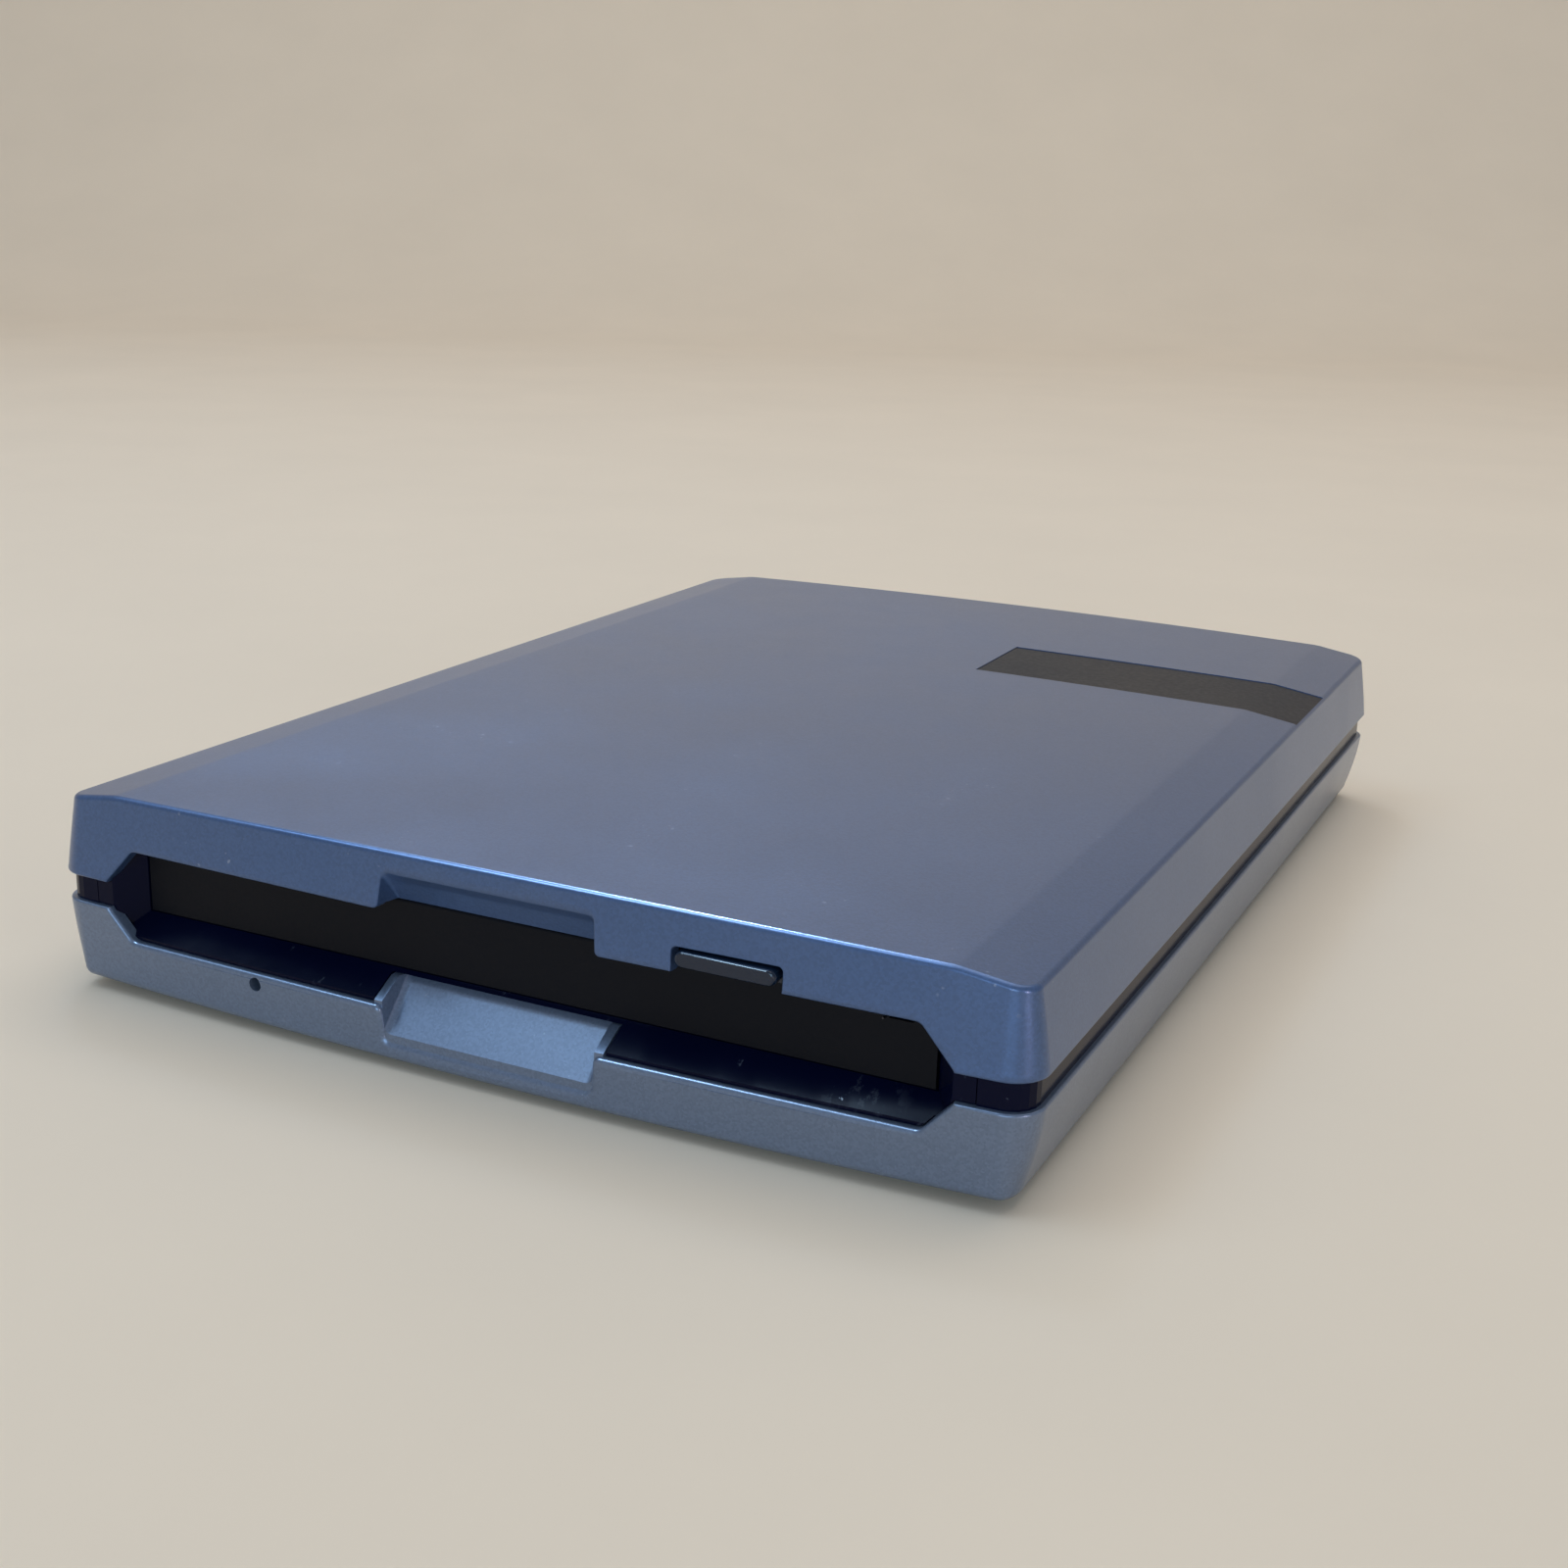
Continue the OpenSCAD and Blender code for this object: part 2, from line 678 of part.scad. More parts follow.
// Door: a flap on two pins at its top corners
door_foot = 0.15;
rib_drop = 3.3;
spring_w = 2.4;
spring_x = door_half_w - spring_w * 2;
spring_room = 1.1;
rib_t = 0.5;
rib_shares = [-0.75, -0.25, 0.25, 0.8];
module slot_door() color([0.08, 0.07, 0.065]) {
    difference() {
        union() {
            span([-door_half_w, door_half_w], [door_y, door_y + door_t],
                [slot_lo + door_foot, hinge_z]);
            rod_x([-door_half_w, hinge_y, hinge_z], door_t / 2, door_half_w * 2);
            rod_x([-window_x - hinge_pin_l + fit, hinge_y, hinge_z], hinge_pin_r,
                (window_x + hinge_pin_l - fit) * 2);
            for (s = rib_shares)
                translate([s * door_half_w, 0, 0])
                    span([-rib_t / 2, rib_t / 2], [hinge_y, door_y + door_t + rib_t],
                        [slot_lo + door_foot * 2, hinge_z - rib_drop]);
        }
        difference() {
            span([spring_x, spring_x + spring_w], [door_y - over, door_y + door_t + over],
                [hinge_z - spring_room, hinge_z + spring_room]);
            rod_x([spring_x - over, hinge_y, hinge_z], hinge_pin_r, spring_w + over * 2);
        }
    }
}

// A wire swept along points that a rule gives, as an unbroken tube
wire_sides = 6;
steep = 0.9;
module wire(points, r) {
    n = len(points);
    function along(i) = unit(points[min(i + 1, n - 1)] - points[max(i - 1, 0)]);
    function side(t) = unit(cross(t, abs(t[2]) > steep ? [1, 0, 0] : [0, 0, 1]));
    skin([for (i = [0 : n - 1])
        let (t = along(i), u = side(t), v = cross(t, u))
        [for (k = [0 : wire_sides - 1])
            let (a = 360 * k / wire_sides)
            points[i] + r * (cos(a) * u + sin(a) * v)]]);
}
coil_steps = 12;
function helix(r, pitch, turns) = [
    for (i = [0 : turns * coil_steps])
        let (a = 360 * i / coil_steps)
        [r * cos(a), r * sin(a), pitch * i / coil_steps]];

module door_spring() color(steel) {
    r = hinge_pin_r + spring_wire;
    turns = 5;
    pitch = (spring_w - fit * 3) / turns;
    back = door_t / 2 + spring_wire;
    translate([spring_x + fit, hinge_y, hinge_z])
        rotate([0, 90, 0])
            wire(concat(
                [[r, -r * 3, -spring_wire], [r, -r, -spring_wire / 2]],
                helix(r, pitch, turns),
                [[spring_room, back, pitch * turns], [spring_room * 3, back, pitch * turns]]),
                spring_wire / 2);
}
spring_wire = 0.22;

// Button: a smoked lens with a flange behind the wall and a stem in the bezel's guide
button_proud = 0.45;
button_front = front_face_at(button_x, button_z) - button_proud;
button_crest = 0.35;
flange_t = 0.7;
flange_gap = 0.4;
flange_y = front_face_at(button_x, button_z) + wall + flange_gap;
flange_over = 0.5;
switch_y = bezel_back + stud_l;
switch_t = 1.3;
function front_face_at(x, z) =
    bow(front_bow, x) - half_d + upper_lean * (z - upper_z) / (top_z(x) - top_edge_r - upper_z);
module eject_button() color(smoke_plastic, 0.85) {
    r = button_h / 2 - run;
    face = function(inset, y) [
        for (p = rounded([
            [button_x - button_w / 2 + inset, button_lo + inset / 2],
            [button_x + button_w / 2 - inset, button_lo + inset / 2],
            [button_x + button_w / 2 - inset, button_lo + button_h - inset / 2],
            [button_x - button_w / 2 + inset, button_lo + button_h - inset / 2]],
            r - inset / 2)) [p[0], y, p[1]]];
    skin([
        face(0, flange_y + flange_t / 2),
        face(0, button_front + button_crest),
        face(button_crest / 2, button_front + button_crest / 4),
        face(button_crest, button_front)]);
    span([button_x - button_w / 2 - flange_over, button_x + button_w / 2 + flange_over],
        [flange_y, flange_y + flange_t],
        [slot_hi + fit, button_lo + button_h + flange_over]);
    rod_y([button_x, flange_y, button_z], stem_r, switch_y - switch_t - plunger_out - flange_y);
}
module button_spring() color(steel) {
    turns = 3;
    r = stem_r + spring_wire * 1.2;
    room = guide_y - flange_y - flange_t - spring_wire - fit;
    translate([button_x, flange_y + flange_t + spring_wire / 2 + fit / 2, button_z])
        rotate([-90, 0, 0])
            wire(helix(r, room / turns, turns), spring_wire / 2);
}

// The small upright board behind the button, with its switch and lamp
front_board_z = [slot_hi + rib_t + fit, guide_top - fit];
plunger_r = 0.8;
plunger_out = 0.7;
plunger_in = 0.5;
switch_w = 4.2;
switch_h = 3;
led_w = 1.6;
led_h = 0.9;
module front_board() color(board_green)
    span(guide_x, [switch_y, switch_y + board_t],
        front_board_z);
module eject_switch() color(magnet_grey) difference() {
    span([button_x - switch_w / 2, button_x + switch_w / 2], [switch_y - switch_t, switch_y],
        [button_z - switch_h / 2, button_z + switch_h / 2]);
    rod_y([button_x, switch_y - switch_t - over, button_z], plunger_r + run,
        over + plunger_in + button_travel + run);
}
module switch_plunger() color(nylon)
    rod_y([button_x, switch_y - switch_t - plunger_out, button_z], plunger_r,
        plunger_out + plunger_in);
module status_led() color([0.9, 0.75, 0.3])
    for (x = [button_x + switch_w / 2 + led_w / 2, button_x - switch_w / 2 - led_w * 1.5])
        span([x, x + led_w], [switch_y - led_h, switch_y],
            [button_z - led_h / 2, button_z + led_h / 2]);

module label_plate() color([0.07, 0.055, 0.05])
    prism_y(label_profile(label_proud, label_sink), label_y + fit / 2, label_l - fit);

module rubber_feet() color(rubber)
    at_feet() {
        rod_z([0, 0, foot_h / 3], foot_r, foot_h + foot_sink - foot_h / 3);
        rod_z([0, 0, 0], foot_r - foot_h / 3, foot_h);
    }

// A screw pointing up or down with a cross recess in its head
cross_w = 0.4;
cross_share = 0.6;
module screw(head_r, head_h, r, l) {
    difference() {
        rod_z([0, 0, 0], head_r, head_h);
        for (a = [0, 90])
            rotate([0, 0, a])
                span([-head_r * cross_share, head_r * cross_share], [-cross_w / 2, cross_w / 2],
                    [-over, head_h / 2]);
    }
    rod_z([0, 0, head_h / 2], r, l + head_h / 2);
}
module case_screws() color(steel)
    at_case_posts()
        translate([0, 0, case_head_z - case_head_h])
            screw(case_head_r, case_head_h, case_screw_r, case_screw_l - run);

// Chassis: the folded steel tray of the drive
pin_r = 1;
pin_z = cart_z + cart_t / 2;
pin_front = 14;
pin_back = 12;
pin_y = [chassis_y + pin_front, cart_end - pin_back];
pin_out = chassis_out - fit;
chassis_wall_top = cover_z;
tab_l = 7;
tab_set = 6;
tab_y = [chassis_y + tab_set, chassis_end - tab_set];
bay_x = 27.2;
head_near = 15.5;
head_far = 53.5;
head_y = [spindle_y + head_near, spindle_y + head_far];
rail_seat = 3;
bay_near = 10.3;
bay_y = [spindle_y + bay_near, head_y[1] + rail_seat + deck_t];
motor_hole_r = 6;
gear_back = 11.5;
gear_y = cart_end + gear_back;
board_post_x = 33;
board_post_r = 1.8;
board_post_front = 22;
board_post_back = 16;
board_post_y = [chassis_y + board_post_front, chassis_end - board_post_back];
board_screw_r = 0.8;
module at_board_posts()
    both_sides()
        for (y = board_post_y)
            translate([board_post_x, y, 0])
                children();
module chassis() color(steel) {
    difference() {
        union() {
            span([-chassis_out, chassis_out], [chassis_y, chassis_end], [deck_low, deck_z]);
            both_sides() {
                span([wall_in, chassis_out], [chassis_y, chassis_end],
                    [deck_low, chassis_wall_top]);
                for (y = tab_y)
                    span([slide_in, chassis_out], [y - tab_l / 2, y + tab_l / 2],
                        [chassis_wall_top - deck_t, chassis_wall_top]);
            }
            at_board_posts()
                rod_z([0, 0, board_z + board_t], board_post_r, board_gap + deck_t / 2);
            rod_z([gear_x, gear_y, deck_z - deck_t / 2], post_collar_r,
                gear_z - gap - deck_z + deck_t / 2);
            rod_z([gear_x, gear_y, deck_z], gear_post_r, gear_top + over - deck_z);
        }
        span([-bay_x, bay_x], bay_y, [deck_low - over, deck_z + over]);
        rod_z([0, spindle_y, deck_low - over], motor_hole_r, deck_t + over * 2);
        at_drive_posts()
            rod_z([0, 0, deck_low - over], drive_screw_r + fit, deck_t + over * 2);
        both_sides() {
            for (y = pin_y)
                pin_slot(y);
            for (y = tab_y)
                rod_z([tab_screw_x, y, cover_z - deck_t - over], tab_screw_r + run, deck_t + over * 2);
        }
        at_board_posts()
            rod_z([0, 0, board_z], board_screw_r + run, board_gap + board_t * 2);
        span([-release_x - tab_l / 2, tab_l / 2 - release_x],
            [chassis_y - over, chassis_y + slide_travel * 2], [deck_low - over, deck_z + over]);
    }
}
tab_screw_r = 0.8;
tab_screw_x = slide_out + gap;
tab_head_r = 1.6;
tab_head_h = 0.5;
// Upright slot in the chassis wall for one pin of the holder
module pin_slot(y) {
    span([wall_in - over, chassis_out + over], [y - pin_r - run, y + pin_r + run],
        [pin_z - load_drop, pin_z]);
    for (z = [pin_z, pin_z - load_drop])
        rod_x([wall_in - over, y, z], pin_r + run, deck_t + over * 2);
}
module chassis_dampers() color(rubber)
    at_drive_posts()
        difference() {
            rod_z([0, 0, drive_post_top], drive_post_r + fit, damper_h);
            rod_z([0, 0, drive_post_top - over], drive_screw_r + fit, damper_h + over * 2);
        }
module chassis_screws() color(steel)
    at_drive_posts()
        translate([0, 0, deck_z + drive_head_h])
            mirror([0, 0, 1])
                screw(drive_head_r, drive_head_h, drive_screw_r,
                    deck_z - drive_post_top + drive_bite);
drive_bite = 1.1;

bead_h = 0.3;
bead_w = 5;
bead_shares = [-0.55, -0.2, 0.2, 0.55];
module top_cover() color(steel) {
    difference() {
        union() {
            span([-chassis_out, chassis_out], [chassis_y, chassis_end], [cover_z, cover_z + sheet]);
            for (s = bead_shares)
                translate([s * chassis_out, 0, 0])
                    span([-bead_w / 2, bead_w / 2], [chassis_y + tab_l * 2, chassis_end - tab_l * 2],
                        [cover_z, cover_z + sheet + bead_h]);
        }
        both_sides()
            for (y = tab_y)
                rod_z([tab_screw_x, y, cover_z - over], tab_screw_r + fit, sheet + over * 2);
    }
}
module cover_screws() color(steel)
    both_sides()
        for (y = tab_y)
            translate([tab_screw_x, y, cover_z + sheet + tab_head_h])
                mirror([0, 0, 1])
                    screw(tab_head_r, tab_head_h, tab_screw_r, sheet + deck_t);

pad_w = 12;
pad_l = 16;
pad_x = 38;
pad_top = top_z(pad_x + pad_w / 2) - wall - gap;
module foam_pads() color([0.2, 0.2, 0.2])
    both_sides()
        for (y = [chassis_y + tab_l * 4, chassis_end - tab_l * 4])
            span([pad_x - pad_w / 2, pad_x + pad_w / 2], [y - pad_l / 2, y + pad_l / 2],
                [cover_z + sheet, pad_top]);

// Cartridge holder: a channel of folded sheet on four pins
door_room = 1.2;
holder_past = 1;
holder_y = [hinge_y + hinge_z - slot_lo + door_room, cart_end + holder_past];
holder_play = 0.2;
roof_z = cart_top + holder_play;
lip_w = 3;
lip_z = cart_z - holder_play - sheet;
lip_short = 8;
lever_x = -12;
lever_back = 8;
lever_y = cart_end - lever_back;
lever_r = 30;
lever_rest = 216;
lever_swing = 33;
lever_pin_r = 0.9;
lever_pin_in = 1;
lever_post_r = 1.2;
bias_half_w = 7;
bias_past = 3;
bias_y = [lens_y - bias_past, lens_y + lens_travel + bias_past];
stop_w = 8;
module cartridge_holder() color(zinc) {
    difference() {
        union() {
            span([-holder_out, holder_out], holder_y, [roof_z, roof_z + sheet]);
            both_sides() {
                span([holder_in, holder_out], holder_y, [lip_z, roof_z + sheet]);
                span([holder_out - lip_w, holder_out], [holder_y[0] + lip_short, holder_y[1]],
                    [lip_z, lip_z + sheet]);
                span([holder_out - stop_w, holder_out], [holder_y[1] - sheet, holder_y[1]],
                    [lip_z, roof_z + sheet]);
                for (y = pin_y)
                    rod_x([holder_out - sheet / 2, y, pin_z], pin_r, pin_out - holder_out + sheet / 2);
            }
            rod_z([lever_x, lever_y, roof_z + sheet / 2], lever_post_r, lever_post_h + sheet / 2);
        }
        span([-bias_half_w, bias_half_w], bias_y, [roof_z - over, roof_z + sheet + over]);
        translate([lever_x, lever_y, roof_z - over])
            rotate([0, 0, lever_rest - lever_swing - slot_spare])
                rotate_extrude(angle = lever_swing + slot_spare * 2)
                    translate([lever_r - lever_pin_r - gap, 0])
                        square([lever_pin_r * 2 + gap * 2, sheet + over * 2]);
        span([-grip_half_w, grip_half_w], [holder_y[0] - over, holder_y[0] + lip_short],
            [roof_z - over, roof_z + sheet + over]);
    }
}
slot_spare = 4;
lever_post_h = 1.9;

// Cam slide: two slotted side plates, a bridge behind the cartridge, a rack and a release arm
slide_low = cart_z - gap;
slide_top = roof_z + sheet + fit;
slide_lead = 10.5;
slide_tail = 6;
slide_front = pin_y[0] - slide_lead;
slide_back = pin_y[1] + slide_travel + slide_tail;
bridge_gap = 1.6;
bridge_y = holder_y[1] + bridge_gap;
bridge_w = 6;
rack_spare = 8;
rack_lead = 4;
rack_l = slide_travel + rack_spare;
rack_y = gear_y - rack_lead;
arm_w = 2.4;
arm_t = 0.5;
arm_gap = 0.25;
arm_z = deck_z + arm_gap;
cam_angle = atan2(load_drop, slide_travel);
module cam_slot(y) {
    run_l = norm([load_drop, slide_travel]);
    r = pin_r + run;
    translate([slide_in - over, y, pin_z])
        rotate([-cam_angle, 0, 0])
            translate([0, 0, -r])
                cube([slide_t + over * 2, run_l, r * 2]);
    for (s = [0, 1])
        rod_x([slide_in - over, y + s * slide_travel, pin_z - s * load_drop], r, slide_t + over * 2);
}
module cam_slide() color(zinc) {
    difference() {
        union() {
            both_sides()
                span([slide_in, slide_out], [slide_front, slide_back], [slide_low, slide_top]);
            span([slide_in, slide_out], [slide_back - over, rack_y + rack_l],
                [rack_z - rack_t / 2, slide_top]);
            both_sides()
                span([slide_in, slide_out], [slide_back - over, bridge_y + bridge_w],
                    [slide_top - bridge_w, slide_top]);
            span([-slide_out, slide_out], [bridge_y, bridge_y + bridge_w],
                [slide_top - sheet, slide_top]);
            span([-slide_out, -slide_in], [slide_front, slide_front + arm_w], [arm_z, slide_low + over]);
            span([-slide_out, release_arm_end], [slide_front, slide_front + arm_w], [arm_z, arm_z + arm_t]);
            span([-release_x - arm_w / 2, arm_w / 2 - release_x], [slide_front, slide_front + slide_t],
                [deck_low - arm_t, arm_z + arm_t]);
            translate([slide_in, 0, rack_z - rack_t / 2])
                rack();
        }
        both_sides()
            for (y = pin_y)
                cam_slot(y);
    }
}
release_arm_end = arm_w / 2 - release_x;

// Gear teeth: points of one tooth as shares of the tooth angle and of the tooth height
tooth_shares = [[-0.3, 0], [-0.11, 1], [0.11, 1], [0.3, 0]];
addendum = 0.85;
dedendum = 1.15;
rack_share = 0.62;
tooth_h = tooth_module * (addendum + dedendum);
function pitch_r(teeth) = teeth * tooth_module / 2;
function gear_outline(teeth) = [
    for (i = [0 : teeth - 1], s = tooth_shares)
        let (a = 360 * (i + s[0]) / teeth)
        let (r = pitch_r(teeth) - dedendum * tooth_module + s[1] * tooth_h)
        r * [cos(a), sin(a)]];
module rack() {
    pitch = PI * tooth_module;
    count = floor(rack_l / pitch);
    for (i = [0 : count - 1])
        translate([0, gear_y + (i - 2 + 1 / 2) * pitch, 0])
            linear_extrude(rack_t)
                polygon([
                    [slide_t / 2, -pitch * rack_share / 2],
                    [slide_t / 2, pitch * rack_share / 2],
                    [0, pitch * rack_share / 2],
                    [-tooth_h, pitch * (1 - rack_share) / 4],
                    [-tooth_h, -pitch * (1 - rack_share) / 4],
                    [0, -pitch * rack_share / 2]]);
}
rack_t = 2.4;
wheel_t = 2;
pinion_t = 2;
pinion_gap = 0.3;
gear_post_r = 1;
post_collar_r = 1.8;
backlash = 0.05;
gear_x = slide_in - dedendum * tooth_module - pitch_r(pinion_teeth) - backlash;
worm_rise = 5.2;
worm_z = deck_z + worm_rise;
gear_z = worm_z - wheel_t / 2;
pinion_z = gear_z + wheel_t + pinion_gap;
gear_top = pinion_z + pinion_t;
rack_z = pinion_z + pinion_t / 2;
module drive_gear() color(nylon)
    translate([gear_x, gear_y, 0])
        difference() {
            union() {
                translate([0, 0, gear_z])
                    linear_extrude(wheel_t)
                        polygon(gear_outline(wheel_teeth));
                translate([0, 0, pinion_z])
                    linear_extrude(pinion_t)
                        polygon(gear_outline(pinion_teeth));
                rod_z([0, 0, gear_z], gear_post_r * 2, gear_top - gear_z);
            }
            rod_z([0, 0, gear_z - over], gear_post_r + run, gear_top - gear_z + over * 2);
        }

// Worm with one thread on the motor's shaft
worm_pitch_r = 2;
worm_x = gear_x - pitch_r(wheel_teeth) - worm_pitch_r - backlash;
worm_l = 9;
worm_turns = 5;
shaft_r = 0.7;
motor_r = 4.6;
motor_l = 13;
motor_gap = 2.2;
motor_y = gear_y + worm_l / 2 + motor_gap;
thread_shares = [[-0.3, 0], [-0.1, 1], [0.1, 1], [0.3, 0]];
worm_steps = 16;
module motor_worm() color(brass) {
    pitch = PI * tooth_module;
    root = worm_pitch_r - dedendum * tooth_module;
    deep = root / 4;
    n = worm_turns * worm_steps;
    // The thread faces the wheel half a pitch before the gear's middle plane
    start = gear_y - (worm_turns / 2) * pitch;
    translate([worm_x, start, worm_z])
        rotate([-90, 0, 0])
            skin([for (i = [n : -1 : 0])
                let (a = 360 * i / worm_steps)
                [for (s = thread_shares)
                    let (r = root - deep + s[1] * (tooth_h + deep))
                    [r * cos(a), r * sin(a), pitch * (i / worm_steps + s[0])]]]);
    rod_y([worm_x, gear_y - worm_l / 2, worm_z], root, worm_l);
    rod_y([worm_x, bearing_y - bracket_t, worm_z], shaft_r, motor_y + bracket_t * 2 - bearing_y);
}
bearing_y = gear_y - worm_l / 2 - gap;
bracket_t = 0.8;
bracket_half = 4.4;
module motor_bracket() color(steel)
    translate([worm_x, 0, 0])
        difference() {
            union() {
                span([-bracket_half, bracket_half], [bearing_y - bracket_t, motor_y],
                    [deck_z, deck_z + bracket_t / 2]);
                span([-bracket_half, bracket_half], [bearing_y - bracket_t, bearing_y],
                    [deck_z, worm_z + shaft_r * 3]);
                span([-bracket_half, bracket_half], [motor_y - bracket_t, motor_y],
                    [deck_z, worm_z + motor_r]);
            }
            rod_y([0, bearing_y - over, worm_z] - [0, over, 0], shaft_r + run, motor_l * 2);
        }
module loading_motor() color(steel)
    difference() {
        intersection() {
            rod_y([worm_x, motor_y, worm_z], motor_r, motor_l);
            span([worm_x - motor_r, worm_x + motor_r], [motor_y, motor_y + motor_l],
                [worm_z - motor_r + fit, worm_z + motor_r - fit]);
        }
        rod_y([worm_x, motor_y - over, worm_z], shaft_r + run, over + bracket_t * 2);
    }

// Shutter lever on the holder's roof, with the pin that opens the cartridge's shutter
lever_t = 0.6;
lever_w = 2.6;
lever_z = roof_z + sheet + gap;
module shutter_lever() color(zinc)
    translate([lever_x, lever_y, 0])
        rotate([0, 0, lever_rest])
            difference() {
                union() {
                    span([0, lever_r], [-lever_w / 2, lever_w / 2], [lever_z, lever_z + lever_t]);
                    rod_z([0, 0, lever_z], lever_post_r * 2, lever_t);
                    rod_z([lever_r, 0, lever_z], lever_w / 2, lever_t);
                    rod_z([lever_r, 0, cart_top - lever_pin_in], lever_pin_r,
                        lever_z - cart_top + lever_pin_in + lever_t / 2);
                }
                rod_z([0, 0, lever_z - over], lever_post_r + run, lever_t + over * 2);
            }
module lever_spring() color(steel) {
    r = lever_post_r + spring_wire * 1.5;
    turns = 2;
    pitch = spring_wire * 1.6;
    translate([lever_x, lever_y, lever_z + lever_t + spring_wire])
        rotate([0, 0, lever_rest - 90])
            wire(concat(
                [[r, -r * 4, 0]],
                helix(r, pitch, turns),
                [[r, r * 4, pitch * turns]]), spring_wire / 2);
}

// Spindle
motor_plate_r = 11;
motor_plate_t = 0.5;
bearing_r = 5.8;
bearing_low = 0.4;
rotor_r = 10.4;
rotor_t = 1.1;
hub_r = 3.5;
hub_h = 0.7;
hub_pin_r = 1.95;
hub_pin_h = 0.6;
spindle_shaft_r = 1;
rotor_z = deck_z + motor_plate_t + gap;
module spindle_motor() color(magnet_grey)
    translate([0, spindle_y, 0])
        difference() {
            union() {
                rod_z([0, 0, deck_z], motor_plate_r, motor_plate_t);
                rod_z([0, 0, deck_low - bearing_low], bearing_r, deck_t + bearing_low + over / 2);
            }
            rod_z([0, 0, deck_low], spindle_shaft_r + run, deck_t * 2);
        }
module turntable() color(steel)
    translate([0, spindle_y, 0]) {
        difference() {
            rod_z([0, 0, rotor_z], rotor_r, rotor_t);
            for (i = [0 : 2])
                rotate([0, 0, 120 * i])
                    rod_z([rotor_r * 0.7, 0, rotor_z - over], spindle_shaft_r, rotor_t + over * 2);
        }
        rod_z([0, 0, rotor_z], hub_r, rotor_t + hub_h);
        rod_z([0, 0, rotor_z], hub_pin_r, rotor_t + hub_h + hub_pin_h);
        rod_z([0, 0, deck_low + gap], spindle_shaft_r, rotor_z - deck_low);
    }

// Optical head: cast base, rails, carriage, coils, magnets, lens
base_low = 0.5;
block_back = 5;
block_end = chassis_end - block_back;
base_rise = 0.8;
base_x = 30;
base_in_x = 25.7;
base_lap = 1.8;
base_y = [bay_y[0] - base_lap, block_end + base_lap];
rail_z = deck_z - gap;
rail_x = 12.5;
module optics_base() color(zinc)
    difference() {
        union() {
            span([-base_x, base_x], base_y, [deck_z, deck_z + base_rise]);
            span([fit - bay_x, bay_x - fit], [bay_y[0] + fit, bay_y[1] - fit],
                [deck_low - base_low, deck_z + base_rise / 2]);
        }
        span([-base_in_x, base_in_x], head_y, [deck_low - over, deck_z + over * 2]);
        rod_z([0, spindle_y, deck_low - over], motor_plate_r + fit, deck_t + over * 3);
        both_sides()
            rod_y([rail_x, head_y[0] - rail_seat, rail_z], rail_d / 2,
                head_y[1] - head_y[0] + rail_seat * 2);
    }
module guide_rails() color(steel)
    both_sides()
        rod_y([rail_x, head_y[0] - rail_seat, rail_z], rail_d / 2,
            head_y[1] - head_y[0] + rail_seat * 2);

carriage_half_l = 7.4;
carriage_half_w = 15.6;
carriage_low = deck_low - gap;
carriage_rise = 0.7;
carriage_top = deck_z + carriage_rise;
pocket_half = 4.6;
module optical_carriage() color(magnet_grey)
    difference() {
        span([-carriage_half_w, carriage_half_w],
            [lens_y - carriage_half_l, lens_y + carriage_half_l], [carriage_low, carriage_top]);
        span([-pocket_half, pocket_half], [lens_y - pocket_half, lens_y + pocket_half],
            [carriage_low + sheet, carriage_top + over]);
        both_sides()
            rod_y([rail_x, lens_y - carriage_half_l - over, rail_z], rail_d / 2 + run,
                carriage_half_l * 2 + over * 2);
        rod_y([0, lens_y, (carriage_low + carriage_top) / 2], sheet, carriage_half_l + over);
    }

coil_w = 4.6;
coil_l = 8;
coil_wall = 0.8;
coil_low = carriage_low;
coil_high = carriage_top;
core_w = coil_w - coil_wall * 2 - gap * 2;
core_mid = carriage_half_w + coil_w / 2;
core_low = coil_low + coil_wall - gap / 2;
core_high = coil_high - coil_wall + gap / 2;
magnet_t = 1.6;
yoke_t = 1;
magnet_x = carriage_half_w + coil_w + gap * 2;
yoke_y = [head_y[0] + fit, head_y[1] - fit];
module voice_coils() color(copper)
    both_sides()
        difference() {
            span([carriage_half_w, carriage_half_w + coil_w], [lens_y - coil_l / 2, lens_y + coil_l / 2],
                [coil_low, coil_high]);
            span([carriage_half_w + coil_wall, carriage_half_w + coil_w - coil_wall],
                [lens_y - coil_l, lens_y + coil_l], [core_low - gap, core_high + gap]);
        }
module coil_yokes() color(steel)
    both_sides() {
        span([core_mid - core_w / 2, core_mid + core_w / 2], yoke_y, [core_low, core_high]);
        span([magnet_x + magnet_t, magnet_x + magnet_t + yoke_t], yoke_y, [coil_low, coil_high]);
        for (y = [yoke_y[0], yoke_y[1] - yoke_t])
            span([core_mid - core_w / 2, magnet_x + magnet_t + yoke_t], [y, y + yoke_t],
                [core_low, core_high]);
    }
module coil_magnets() color(magnet_grey)
    both_sides()
        span([magnet_x, magnet_x + magnet_t], [yoke_y[0] + yoke_t, yoke_y[1] - yoke_t],
            [coil_low, coil_high]);

